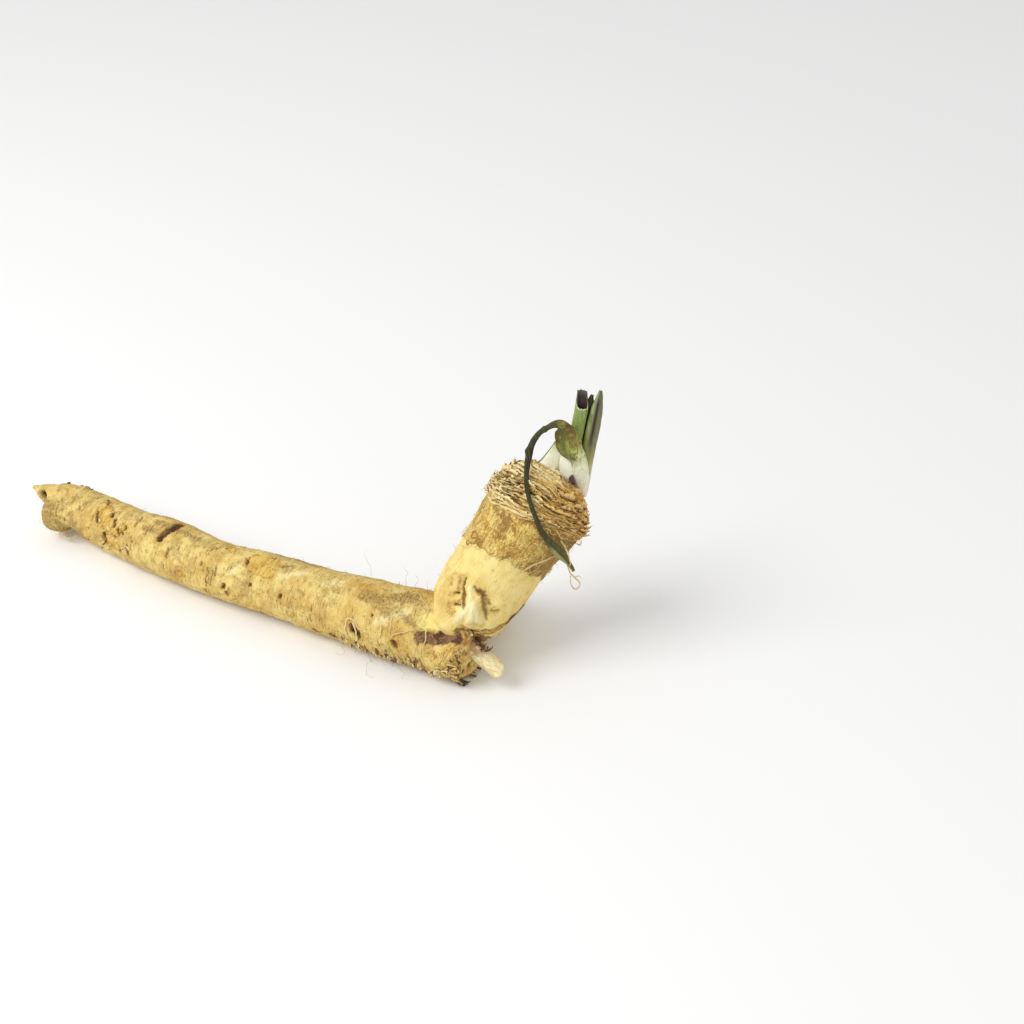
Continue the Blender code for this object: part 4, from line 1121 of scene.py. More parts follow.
# Under the left end's short side root, and thin ones along the front.
for s, degrees in ((-0.2240, -120), (-0.2172, -124), (-0.2118, -118), (-0.1960, -96)):
    for _ in range(3):
        at, run = s + draw.uniform(-0.0007, 0.0007), draw.uniform(0.0008, 0.0016)
        angle, turn = degrees + draw.uniform(-2, 2), draw.uniform(-3, 3)
        shaft_strip(at, angle, run, turn, 0.0008, draw.uniform(0.0006, 0.0013), 1.0)
for _ in range(34):
    s, degrees = draw.uniform(-0.200, -0.165), draw.uniform(-75, 25)
    run, turn = draw.uniform(-0.003, 0.003), draw.uniform(-9, 9)
    shaft_strip(s, degrees, run, turn, draw.uniform(0.0003, 0.0009), 0.0004, draw.choice((0.0, 0.2, 0.9)))

strip_finish, start, spot = started("torn_skin")
crumb, streak = spot.mottle(0.0010, 3.0), spot.mottle(0.0032, 3.0)
stops = [
    (0.0, (0.82, 0.68, 0.34)), (0.4, (0.66, 0.46, 0.14)),
    (0.75, (0.34, 0.17, 0.040)), (1.0, (0.085, 0.040, 0.016)),
]
colour = start.make("ValToRGB", {"stops": stops}, {0: start.field("tone")})
colour = colour.painted(
    (streak.between(0.54, 0.68) * 0.45, FIBRE_BROWN),
    (crumb.between(0.56, 0.70) * 0.5, BROWN),
    ((1 - start.field("edge")) * 0.6, FIBRE_BROWN),
)
ended(start, colour, 0.72, crumb + streak, 0.0003, Specular_IOR_Level=0.28)
points, faces = gathered(strips)
grown(
    "torn_strips", points, faces, strip_finish, "root_skin",
    tone=np.concatenate(strip_tone), edge=np.concatenate(strip_edge),
)

# The pale stub: a thick side root that grew beside the old root's end. It broke off bluntly, and shows its
# cream flesh where the skin has gone.
STUB_FROM, STUB_TO = np.array((0.0185, -0.0008, 0.0252)), np.array((0.0452, -0.0008, 0.0094))
STUB_GIRTHS = (0.0047, 0.0039)
STUB_SIDES, STUB_SQUARENESS = 56, 3.2
STUB_SLANT = 0.0022
# How its broken end rounds off: shares of its length, and of its girth.
STUB_END, STUB_END_GIRTH = (0.97, 0.985, 0.994, 0.999), (1, 0.94, 0.80, 0.55)


def tipped(values, foot=0.0, head=0.0):
    """A value for each point of a piece's rings, and one for the point in the middle of each end."""
    return np.concatenate([np.ravel(values), (foot, head)])


way = unit(STUB_TO - STUB_FROM)
shares = np.concatenate([np.linspace(0, STUB_END[0], 60), STUB_END[1:]])
angles = np.linspace(0, math.tau, STUB_SIDES, endpoint=False)
squared = np.abs(np.cos(angles)) ** STUB_SQUARENESS + np.abs(np.sin(angles)) ** STUB_SQUARENESS
squared = squared ** (-1 / STUB_SQUARENESS)
girth = STUB_GIRTHS[0] + (STUB_GIRTHS[1] - STUB_GIRTHS[0]) * shares
girth = girth * np.interp(shares, STUB_END, STUB_END_GIRTH)
place = round_place(angles, 2.4, shares[:, None] * 3)
reach = girth[:, None] * squared * (0.90 + 0.09 * grain(place, 71))
reach = reach + 0.00022 * grain(place * (3.5, 3.5, 1.0), 72)
line = STUB_FROM + (STUB_TO - STUB_FROM) * shares[:, None]
slant = STUB_SLANT * np.cos(angles - 1.0) * smooth(shares, 0.75, 1.0)[:, None]
rings = rings_round(line, np.broadcast_to(way, line.shape), reach, angles, UP) + way * slant[..., None]
points, faces = closed(rings, (line[0], rings[-1].mean(0)))
upward = np.broadcast_to(np.cos(angles), reach.shape)

stub_finish, start, spot = started("stub_flesh")
crumb, patch = spot.mottle(0.0010, 3.0), spot.mottle(0.0035, 3.0)
line_grain = spot.stretched(0.14, 1.0, 1.0).mottle(0.0007, 3.0)
length, upper = start.field("length"), start.field("upper")
colour = start.mixed(patch.between(0.4, 0.62), (0.88, 0.79, 0.47), (0.78, 0.64, 0.31))
colour = colour.painted(
    # Painted shade: the stub's top is a darker pinkish brown, short of its broken end.
    (upper.between(0.2, 0.7) * (1 - length.between(0.62, 0.78)) * 0.75, (0.54, 0.41, 0.28)),
    (line_grain.between(0.50, 0.64) * 0.45, (0.50, 0.34, 0.14)),
    ((1 - length.between(0.52, 0.70)) * patch.between(0.40, 0.56) * 0.8, FIBRE_BROWN),
    (crumb.between(0.60, 0.72) * 0.5, BROWN),
)
ended(start, colour, 0.6, line_grain + crumb, 0.0003, Specular_IOR_Level=0.3)
grown(
    "pale_stub", points, faces, stub_finish, "root_skin",
    length=tipped(np.repeat(shares, STUB_SIDES), head=1.0), upper=tipped(upward),
)

# Rootlets: thin pale side roots that the knife left, which lie on the root and loop off it. Root hairs are
# the finest roots, which stand off the washed skin, thickest by the crown and the torn end.
# Each rootlet's radius and the places that it goes through, in mm.
ROOTLETS = (
    (
        0.50, (-28.5, -20.6, 12.1), (-29.3, -21.7, 15.5), (-29.5, -21.8, 19.0), (-28.6, -21.0, 23.0),
        (-26.5, -20.8, 24.2), (-24.2, -20.7, 23.2), (-21.5, -21.2, 20.6), (-18.0, -20.6, 20.6),
    ),
    (
        0.42, (-25.4, -20.8, 22.6), (-23.2, -21.8, 18.8), (-22.9, -21.6, 14.8), (-24.5, -20.4, 11.5),
        (-26.4, -19.4, 9.6),
    ),
    (
        0.42, (-6.2, -14.6, 29.8), (-5.4, -18.0, 25.5), (-4.5, -19.4, 21.6), (-1.7, -19.0, 23.6),
        (4.2, -16.6, 26.4), (8.0, -14.6, 27.5),
    ),
    (
        0.34, (-6.9, 6.4, 33.9), (0.7, -1.3, 35.9), (6.5, -4.6, 35.4), (8.8, -5.9, 34.4),
        (9.4, -9.7, 31.4),
    ),
    (
        0.55, (42.0, 18.4, 52.4), (44.0, 21.6, 54.0), (47.8, 27.0, 56.0), (51.6, 33.6, 57.2),
        (53.6, 38.8, 55.8), (55.7, 40.0, 52.7), (57.8, 41.0, 46.6), (58.9, 43.2, 43.0),
        (60.9, 44.8, 39.6), (60.3, 42.2, 37.4), (58.0, 41.0, 40.6), (57.6, 41.4, 44.6),
    ),
    (
        0.50, (54.9, 36.4, 66.2), (57.6, 36.0, 63.8), (59.4, 35.6, 61.2), (60.2, 36.6, 56.8),
        (59.6, 37.6, 53.2),
    ),
    (0.30, (58.9, 43.2, 43.0), (60.3, 44.6, 43.8), (61.0, 45.8, 42.0)),
    (0.34, (-12.0, -17.4, 27.0), (-9.6, -19.6, 24.2), (-9.8, -20.6, 20.6), (-11.4, -21.0, 18.4)),
    (0.30, (12.0, -13.2, 27.6), (13.4, -16.0, 24.0), (12.6, -17.6, 20.4)),
    (
        0.22, (-220.0, -17.5, 5.0), (-217.5, -19.5, 3.6), (-214.5, -20.0, 3.4), (-211.5, -18.5, 4.2),
        (-209.5, -16.5, 5.4),
    ),
    (
        0.20, (-218.0, -16.0, 3.6), (-216.0, -18.5, 1.8), (-213.0, -19.0, 2.2), (-211.6, -17.4, 3.4),
        (-213.4, -15.4, 4.6),
    ),
)
roots, root_tone = [], []


def swayed(t, seed, apart, first=0.0):
    """Smooth noise along a line in each of the three directions."""
    return np.stack([wobble(t, seed, axis * apart + first) for axis in range(3)], axis=-1)


for radius, *path in ROOTLETS:
    count = 16 * len(path)
    shares = np.linspace(0, 1, count)
    line = filled(path, count) * MM + 0.00035 * swayed(shares * len(path) * 1.6, 73, 7.3, radius)
    thick = radius * MM * (1 - 0.55 * shares) * (1 + 0.25 * wobble(shares * len(path) * 3, 74))
    roots.append(strand(line, thick, 8))
    root_tone.append(np.full(len(roots[-1][0]), draw.uniform(0, 0.35)))


def hair(start_at, way, length, thick, tone, curl, count=10):
    """A fine curling hair from a point."""
    shares = np.linspace(0, 1, count)
    seed = draw.uniform(0, 90)
    sway = swayed(shares * 1.8 + seed, 75, 5.1)
    line = start_at + unit(way) * (length * shares)[:, None] + sway * (curl * length * shares)[:, None]
    line[:, 2] = np.maximum(line[:, 2], 0.0002)
    roots.append(strand(line, thick * (1 - 0.7 * shares), 4))
    root_tone.append(np.full(len(roots[-1][0]), tone))


# Hairs of the old root: how many, between which places along and degrees round, and the longest of them.
for count, low, high, least, most, longest in (
    (60, -0.045, 0.028, 5, 60, 0.0050),
    (30, -0.030, 0.012, -110, -75, 0.0045),
    (26, -0.228, -0.205, 0, 70, 0.0040),
    (30, -0.205, -0.050, -105, 60, 0.0022),
    (24, 0.000, 0.028, 60, 200, 0.0060),
    (30, -0.200, 0.010, 100, 250, 0.0035),
):
    for _ in range(count):
        s, degrees = draw.uniform(low, high), math.radians(draw.uniform(least, most))
        base, outward = shaft_skin(np.array([s]), np.array([degrees]))
        way = outward[0] * 0.7 + (draw.uniform(-1, 1), draw.uniform(-0.3, 0.6), draw.uniform(-0.8, 0.3))
        length, thick = draw.uniform(0.3, 1.0) * longest, draw.uniform(0.00006, 0.00013)
        hair(base[0], way, length, thick, draw.uniform(0.4, 1.0), 0.7)
# The longest single hairs, below the old root and above it.
for base, way, length in (
    ((-0.0360, -0.0150, 0.0050), (0.35, -0.8, -0.5), 0.010),
    ((-0.0200, -0.0160, 0.0040), (0.45, -0.75, -0.4), 0.013),
    ((-0.0030, -0.0160, 0.0040), (0.6, -0.6, -0.4), 0.011),
    ((-0.0330, 0.0050, 0.0320), (-0.5, 0.5, 0.65), 0.009),
    ((-0.0130, 0.0060, 0.0330), (-0.2, 0.4, 0.85), 0.008),
    ((-0.0080, 0.0060, 0.0335), (0.1, 0.2, 0.9), 0.007),
):
    hair(np.array(base), np.array(way), length, 0.00010, 0.75, 0.9, 22)
# Hairs of the crown, then of the pale stub.
for _ in range(46):
    length, around = draw.uniform(-0.012, 0.044), draw.uniform(0, math.tau)
    base, outward, _ = crown_skin(np.array([length]), np.array([around]), np.zeros(1))
    way = outward[0] * 0.5 + (draw.uniform(-0.6, 0.6), draw.uniform(-0.6, 0.6), draw.uniform(-0.9, 0.4))
    length, thick = draw.uniform(0.0015, 0.0045), draw.uniform(0.00006, 0.00012)
    hair(base[0], way, length, thick, draw.uniform(0.2, 0.9), 0.9)
for _ in range(34):
    share = draw.uniform(0.36, 0.70)
    way = unit(np.array((0.45, 0.15, 0.88)) + np.array([draw.uniform(-0.5, 0.5) for _ in range(3)]))
    base = STUB_FROM + (STUB_TO - STUB_FROM) * share + way * 0.0040
    hair(base, way, draw.uniform(0.0012, 0.0030), draw.uniform(0.00025, 0.00050), 1.0, 0.9, 8)

rootlet_finish, start, spot = started("rootlet")
crumb = spot.mottle(0.0012, 3.0)
stops = [
    (0.0, (0.80, 0.66, 0.32)), (0.4, (0.62, 0.46, 0.19)),
    (0.9, (0.24, 0.16, 0.085)), (1.0, (0.12, 0.055, 0.022)),
]
colour = start.make("ValToRGB", {"stops": stops}, {0: start.field("tone")})
colour = colour.painted((crumb.between(0.54, 0.68) * 0.45, (0.42, 0.26, 0.08)))
ended(start, colour, 0.6, crumb, 0.0002, Specular_IOR_Level=0.3)
points, faces = gathered(roots)
grown("rootlets", points, faces, rootlet_finish, "root_skin", tone=np.concatenate(root_tone))

# The tuft: the leaf stalks that were left when the leaves were cut off. The outer white base clasps the
# bundle at its left, the green stalk stands in its middle, and the longer grey-green one at its right.
TUFT = np.array((0.0402, 0.0615, 0.0847))
ACROSS = unit(np.array((0.838, 0.546, 0.0)))
OUTWARD = unit(np.array((0.546, -0.838, 0.0)))
# The white base: up, left edge, right edge (each across, outward), bulge.
SHEATH = (
    (-0.0010, -0.0128, -0.0006, -0.0034, 0.0044, 0.0014),
    (0.0055, -0.0124, 0.0000, -0.0016, 0.0042, 0.0018),
    (0.0095, -0.0098, 0.0006, 0.0008, 0.0040, 0.0016),
    (0.0145, -0.0066, 0.0012, 0.0014, 0.0038, 0.0012),
    (0.0190, -0.0042, 0.0018, 0.0006, 0.0036, 0.0006),
)
SHEATH_THICKNESS = 0.0013


def in_tuft(across, outward, up):
    """Points of the tuft, in metres from its foot at the crown's top."""
    across, outward, up = (np.asarray(value, float)[..., None] for value in (across, outward, up))
    return TUFT + ACROSS * across + OUTWARD * outward + UP * up


def capped(rings):
    """Points and faces of a closed skin through rings, with a flat cap over each end."""
    return closed(rings, (rings[0].mean(0), rings[-1].mean(0)))


def white_plate(rows, thickness, high=60, wide=26):
    """A curved plate through rows of its two edges, and how high and how far across each point is."""
    up, left_across, left_out, right_across, right_out, bulge = filled(rows, high).T
    left, right = in_tuft(left_across, left_out, up), in_tuft(right_across, right_out, up)
    away = unit(np.cross(right - left, UP))
    shares = np.linspace(0, 1, wide)
    face = left[:, None] + (right - left)[:, None] * shares[None, :, None]
    face = face + away[:, None] * (bulge[:, None] * 4 * shares * (1 - shares))[..., None]
    heights = np.broadcast_to(np.linspace(0, 1, high)[:, None], (high, wide))
    ribs = 0.00010 * grain(np.stack([shares[None] * 14 + heights * 2, heights * 2, heights * 0], axis=-1), 41)
    face = face + away[:, None] * ribs[..., None]
    back = face - away[:, None] * (thickness * (0.55 + 0.45 * np.sin(math.pi * shares)))[None, :, None]
    rings = np.concatenate([face, back[:, ::-1]], axis=1)
    points, faces = capped(rings)
    across = tipped(np.tile(np.concatenate([shares, shares[::-1]]), high), 0.5, 0.5)
    return points, faces, tipped(np.repeat(np.linspace(0, 1, high), 2 * wide), head=1.0), across


LEAF_WHITE = (0.95, 0.93, 0.72)
LEAF_CREAM = (0.84, 0.78, 0.46)
LEAF_LIME = (0.52, 0.58, 0.14)
LEAF_GREEN = (0.17, 0.30, 0.045)
LEAF_OLIVE = (0.13, 0.13, 0.022)
LEAF_DARK = (0.035, 0.036, 0.014)

sheath_finish, start, spot = started("white_leaf_base")
crumb, patch = spot.mottle(0.0012, 3.0), spot.mottle(0.0045, 3.0)
rib = spot.stretched(1.0, 1.0, 0.12).mottle(0.0009, 2.0)
high, across = start.field("high"), start.field("across")
colour = start.mixed(patch.between(0.4, 0.65), LEAF_WHITE, (0.93, 0.92, 0.74))
colour = colour.painted(
    ((1 - high.between(0.0, 0.22)) * 0.5, (0.85, 0.68, 0.30)),
    (high.between(0.62, 1.0) * 0.75, LEAF_LIME),
    (high.between(0.86, 1.0) * 0.6, LEAF_OLIVE),
    # Painted shade: a dark line down the base's left edge.
    ((1 - across.between(0.03, 0.09)) * high.between(0.10, 0.3) * 0.95, (0.10, 0.11, 0.035)),
    (rib.between(0.55, 0.70) * 0.22, (0.60, 0.58, 0.34)),
    (crumb.between(0.66, 0.76) * 0.4, TAN),
)
height = rib * 1.2 + crumb * 0.4
ended(start, colour, 0.45 + crumb * 0.15, height, 0.00022, Subsurface_Weight=0.15, Subsurface_Scale=0.002)
points, faces, height, across = white_plate(SHEATH, SHEATH_THICKNESS)
sheath = grown("white_leaf_base", points, faces, sheath_finish, "white_leaf_base", high=height, across=across)
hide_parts("leaf_sheath")

# The green stalk in the middle of the tuft is a fleshy leaf stalk, cut off square with a knife. It is hollow
# at the cut, and its back wall still stands.
# Rows of a stalk: across, outward and up in the tuft, then half its width and half its depth.
MIDDLE_STALK = (
    (0.0004, -0.0016, -0.0070, 0.0022, 0.0022),
    (0.0012, -0.0014, 0.0010, 0.0026, 0.0025),
    (0.0032, -0.0012, 0.0080, 0.0036, 0.0027),
    (0.0058, -0.0010, 0.0200, 0.0033, 0.0028),
    (0.0074, -0.0012, 0.0290, 0.0031, 0.0028),
    (0.0086, -0.0014, 0.0350, 0.0030, 0.0027),
)
MIDDLE_SIDES, MIDDLE_ROWS = 48, 70
MIDDLE_HOLLOW, MIDDLE_BACK = 0.0080, 0.0085
# The hollow's rings: depth as a share of its own, size as a share of the stalk's, and how far inside.
HOLLOW_RINGS = (
    (-0.01, 0.90, 0.15), (0.0, 0.78, 0.5), (0.25, 0.74, 1.0),
    (0.5, 0.68, 1.0), (0.8, 0.50, 1.0), (1.0, 0.30, 1.0),
)
CHANNEL_SPREAD = 38


def stalk_rings(rows, sides, count):
    """Rings along a stalk given by rows of places and half widths. A sixth column is its channel."""
    across, outward, up, wide, deep, *rest = filled(rows, count).T[..., None]
    line = in_tuft(across[:, 0], outward[:, 0], up[:, 0])
    angles = np.linspace(0, math.tau, sides, endpoint=False)
    turn = turned_from(0, angles)
    channel = rest[0] if rest else 0.0
    reach = 1 / np.hypot(np.sin(angles) / wide, np.cos(angles) / deep)
    reach = reach * (1 - channel * np.exp(-((turn / CHANNEL_SPREAD) ** 2)))
    return rings_round(line, unit(np.gradient(line, axis=0)), reach, angles, OUTWARD), angles


def swollen(rings, amount):
    """Rings with each point moved away from its ring's middle by an amount."""
    return rings + unit(rings - rings.mean(1, keepdims=True)) * amount[..., None]


outer, angles = stalk_rings(MIDDLE_STALK, MIDDLE_SIDES, MIDDLE_ROWS)
steps = np.linspace(0, len(MIDDLE_STALK) - 1, MIDDLE_ROWS)
standing = np.interp(steps, (3.85, 4.23, 4.62, 5.0), (0.0, 0.25, 0.6, 1.0))
back = np.clip(-1.7 * np.cos(angles), 0, 1)
tear = 0.0007 * grain(round_place(angles, 3, 0.0), 51)
outer = outer + UP * ((MIDDLE_BACK * back + tear) * standing[:, None])[..., None]
ridge = 0.00012 * np.cos(angles * 11) * smooth(steps, 0.6, 2.0)[:, None]
outer = swollen(outer, ridge)
middle = outer[-1].mean(0)
inner = []
for depth, size, _ in HOLLOW_RINGS:
    inner.append(middle + (outer[-1] - middle) * size - UP * (MIDDLE_HOLLOW * depth))
points, faces = capped(np.concatenate([outer, inner]))
stalk_high = np.concatenate([steps / steps[-1], np.ones(len(inner))])
stalk_high = tipped(np.repeat(stalk_high, MIDDLE_SIDES), head=1.0)
inside = np.concatenate([np.zeros(MIDDLE_ROWS), [far_in for _, _, far_in in HOLLOW_RINGS]])
inside = tipped(np.repeat(inside, MIDDLE_SIDES), head=1.0)
standing_wall = tipped(np.concatenate([standing[:, None] * back, np.tile(back, (len(inner), 1))]))

middle_finish, start, spot = started("green_stalk")
crumb, patch = spot.mottle(0.0011, 3.0), spot.mottle(0.004, 3.0)
rib = spot.stretched(1.0, 1.0, 0.10).mottle(0.0007, 2.0)
high, wall, within = start.field("high"), start.field("wall"), start.field("inside")
stops = [
    (0.0, LEAF_WHITE), (0.26, LEAF_CREAM), (0.44, LEAF_LIME),
    (0.60, (0.27, 0.34, 0.07)), (1.0, (0.22, 0.29, 0.065)),
]
colour = start.make("ValToRGB", {"stops": stops}, {0: high})
colour = colour.painted(
    (rib.between(0.52, 0.66) * 0.45, (0.40, 0.52, 0.14)),
    (patch.between(0.55, 0.70) * 0.35, LEAF_GREEN),
    (wall.between(0.15, 0.55) * 0.95, (0.050, 0.055, 0.030)),
    (within.between(0.0, 0.4) * (1 - wall.between(0.0, 0.3)) * 0.9, (0.80, 0.78, 0.60)),
    # Painted shade: the cut hollow darkens to near black deep inside.
    (within.between(0.2, 0.6) * wall.between(0.0, 0.2), (0.055, 0.050, 0.030)),
    (within.between(0.5, 1.0), (0.030, 0.014, 0.010)),
)
height = rib + crumb * 0.5
ended(start, colour, 0.42 + crumb * 0.15, height, 0.0003, Subsurface_Weight=0.1, Subsurface_Scale=0.002)
stalk = grown(
    "green_stalk", points, faces, middle_finish, "green_stalk",
    high=stalk_high, inside=inside, wall=standing_wall,
)
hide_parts("leaf_stalk_middle")

# The longer stalk at the right is grey-green and dry at its top, with a channel down its front. It was
# torn off to a point.
RIGHT_STALK = (
    (0.0094, -0.0026, -0.0130, 0.0024, 0.0022, 0.00),
    (0.0102, -0.0024, -0.0040, 0.0030, 0.0025, 0.00),
    (0.0112, -0.0014, 0.0060, 0.0030, 0.0026, 0.05),
    (0.0124, -0.0004, 0.0160, 0.0031, 0.0026, 0.35),
    (0.0140, -0.0004, 0.0260, 0.0032, 0.0025, 0.58),
    (0.0156, -0.0008, 0.0360, 0.0025, 0.0021, 0.55),
    (0.0170, -0.0012, 0.0442, 0.0008, 0.0010, 0.10),
)
RIGHT_SIDES, RIGHT_ROWS = 56, 110
rings, angles = stalk_rings(RIGHT_STALK, RIGHT_SIDES, RIGHT_ROWS)
shares = np.linspace(0, 1, RIGHT_ROWS)
turn = turned_from(0, angles)
ridge = 0.00010 * np.cos(angles * 13) * smooth(shares, 0.2, 0.45)[:, None]
wilt = 0.00020 * grain(round_place(angles, 2, shares[:, None] * 12), 52)
ridge = ridge + wilt * smooth(shares, 0.5, 0.8)[:, None]
points, faces = capped(swollen(rings, ridge))
channel = np.exp(-((turn / 30) ** 2)) * smooth(shares, 0.42, 0.62)[:, None]
channel = channel * (1 - smooth(shares, 0.86, 0.97))[:, None]
left_rim = np.exp(-(((turn + 58) / 26) ** 2)) * smooth(shares, 0.30, 0.50)[:, None]

right_finish, start, spot = started("grey_green_stalk")
crumb, patch = spot.mottle(0.0011, 3.0), spot.mottle(0.004, 3.0)
rib = spot.stretched(1.0, 1.0, 0.09).mottle(0.0007, 2.0)
stops = [
    (0.0, LEAF_WHITE), (0.20, (0.80, 0.72, 0.40)), (0.36, (0.40, 0.38, 0.13)),
    (0.52, (0.22, 0.21, 0.085)), (1.0, (0.13, 0.125, 0.060)),
]
colour = start.make("ValToRGB", {"stops": stops}, {0: start.field("high")})
colour = colour.painted(
    (start.field("rim") * 0.75, (0.36, 0.44, 0.13)),
    (rib.between(0.52, 0.66) * 0.45, (0.34, 0.34, 0.16)),
    (patch.between(0.55, 0.70) * 0.5, LEAF_DARK),
    # Painted shade: the channel is near black.
    (start.field("channel"), (0.012, 0.011, 0.008)),
)
ended(start, colour, 0.5 + crumb * 0.2, rib + crumb * 0.6, 0.0003)
stalk = grown(
    "grey_green_stalk", points, faces, right_finish, "grey_green_stalk",
    high=tipped(np.repeat(shares, RIGHT_SIDES), head=1.0), channel=tipped(channel), rim=tipped(left_rim),
)
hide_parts("leaf_stalk_right")

# The withered leaf: a young leaf that wilted whole. Its white base stands in the bundle, its broad part
# folds over like a hood, and its dark limp stalk arches left and hangs down over the crown's front.
WITHERED = (
    (0.0086, 0.0030, -0.0095, 0.0022, 0.0015),
    (0.0088, 0.0048, -0.0010, 0.0034, 0.0018),
    (0.0082, 0.0062, 0.0050, 0.0038, 0.0019),
    (0.0078, 0.0068, 0.0105, 0.0036, 0.0019),
    (0.0060, 0.0070, 0.0150, 0.0042, 0.0019),
    (0.0030, 0.0073, 0.0192, 0.0061, 0.0020),
    (0.0013, 0.0070, 0.0236, 0.0059, 0.0021),
    (0.0003, 0.0065, 0.0270, 0.0049, 0.0021),
    (-0.0008, 0.0059, 0.0296, 0.0031, 0.0019),
    (-0.0030, 0.0052, 0.0304, 0.0019, 0.0016),
    (-0.0066, 0.0052, 0.0290, 0.0013, 0.0012),
    (-0.0112, 0.0070, 0.0268, 0.0012, 0.0011),
    (-0.0146, 0.0092, 0.0225, 0.0014, 0.0012),
    (-0.0164, 0.0120, 0.0165, 0.0015, 0.0012),
    (-0.0172, 0.0152, 0.0110, 0.0011, 0.0010),
    (-0.0174, 0.0190, 0.0070, 0.0010, 0.0010),
    (-0.0168, 0.0252, 0.0050, 0.0009, 0.0009),
    (-0.0150, 0.0302, 0.0010, 0.0010, 0.0009),
    (-0.0130, 0.0335, -0.0036, 0.0010, 0.0009),
    (-0.0108, 0.0348, -0.0090, 0.0012, 0.0009),
    (-0.0074, 0.0345, -0.0148, 0.0016, 0.0009),
    (-0.0044, 0.0334, -0.0195, 0.0026, 0.0008),
    (-0.0006, 0.0318, -0.0250, 0.0026, 0.0007),
    (0.0026, 0.0300, -0.0305, 0.0012, 0.0006),
    (0.0050, 0.0298, -0.0350, 0.0007, 0.0006),
)
WITHERED_SIDES, WITHERED_ROWS = 44, 420
# Rows are counted from the white base: the hood, the limp stalk after it, and two knots in the stalk.
rings, angles = stalk_rings(WITHERED, WITHERED_SIDES, WITHERED_ROWS)
steps = np.linspace(0, len(WITHERED) - 1, WITHERED_ROWS)[:, None]
creases = grain(round_place(angles, 2.4, steps * 0.9), 61)
pleat = np.cos(angles * 9 + 1.5 * np.sin(steps * 0.8))
limp = smooth(steps, 8.0, 9.5)
hood = smooth(steps, 2.5, 4.5) * (1 - limp)
change = hood * (0.00028 * pleat + 0.0005 * creases) + limp * (0.00022 * creases + 0.00012 * pleat)
knot = 0.0007 * np.exp(-(((steps - 12.6) / 0.22) ** 2)) * (0.6 + 0.6 * np.sin(angles))
knot = knot + 0.0004 * np.exp(-(((steps - 10.5) / 0.15) ** 2))
points, faces = capped(swollen(rings, change + knot))
to_left = np.broadcast_to(-np.sin(angles), (WITHERED_ROWS, WITHERED_SIDES))

withered_finish, start, spot = started("withered_leaf")
crumb, patch = spot.mottle(0.0010, 3.0), spot.mottle(0.0038, 3.0)
rib = spot.stretched(1.0, 1.0, 0.16).mottle(0.0007, 2.0)
step, left = start.field("step"), start.field("left")
in_hood = step.between(0.11, 0.17) * (1 - step.between(0.33, 0.39))
above_base = step.between(0.06, 0.1) * (1 - step.between(0.12, 0.17))
at_right = 1 - left.between(-0.75, 0.0)
stem = step.between(0.36, 0.42)
stops = [
    (0.0, LEAF_WHITE), (0.095, LEAF_WHITE), (0.140, (0.82, 0.84, 0.50)), (0.185, (0.62, 0.66, 0.22)),
    (0.225, (0.38, 0.42, 0.09)), (0.27, (0.17, 0.185, 0.032)), (0.33, (0.075, 0.078, 0.022)),
    (0.42, (0.085, 0.082, 0.026)), (0.52, (0.036, 0.033, 0.014)), (0.70, (0.042, 0.040, 0.016)),
    (0.82, (0.060, 0.058, 0.016)), (0.90, (0.080, 0.085, 0.020)), (1.0, (0.26, 0.23, 0.08)),
]
colour = start.make("ValToRGB", {"stops": stops}, {0: step})
colour = colour.painted(
    (in_hood * left.between(0.1, 0.7) * 0.65, (0.075, 0.085, 0.018)),
    (in_hood * at_right * step.between(0.17, 0.22) * 0.55, (0.17, 0.075, 0.018)),
    (in_hood * rib.between(0.50, 0.60) * 0.7, (0.16, 0.080, 0.018)),
    (in_hood * patch.between(0.52, 0.62) * 0.6, (0.36, 0.38, 0.08)),
    (in_hood * patch.between(0.44, 0.34) * 0.7, (0.045, 0.050, 0.012)),
    (above_base * rib.between(0.50, 0.62) * 0.5, (0.50, 0.54, 0.16)),
    (stem * rib.between(0.52, 0.64) * 0.55, (0.14, 0.135, 0.055)),
    (stem * patch.between(0.50, 0.62) * 0.5, (0.030, 0.026, 0.012)),
    # Painted highlights: pale specks on the limp stalk.
    (stem * crumb.between(0.64, 0.72) * 0.4, (0.32, 0.29, 0.17)),
    (step.between(0.82, 0.88) * patch.between(0.48, 0.60) * 0.65, (0.20, 0.11, 0.03)),
    (step.between(0.84, 0.90) * (1 - left.between(-0.8, -0.3)) * 0.7, (0.42, 0.44, 0.15)),
    (crumb.between(0.62, 0.72) * step.between(0.14, 0.2) * 0.4, LEAF_DARK),
)
ended(start, colour, 0.50 + crumb * 0.3, rib * 1.4 + crumb * 1.2, 0.0005, Specular_IOR_Level=0.3)
wilted = grown(
    "withered_leaf_blade", points, faces, withered_finish, "withered_leaf",
    step=tipped(np.repeat(steps / steps[-1], WITHERED_SIDES), head=1.0), left=tipped(to_left),
)
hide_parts("withered_leaf")

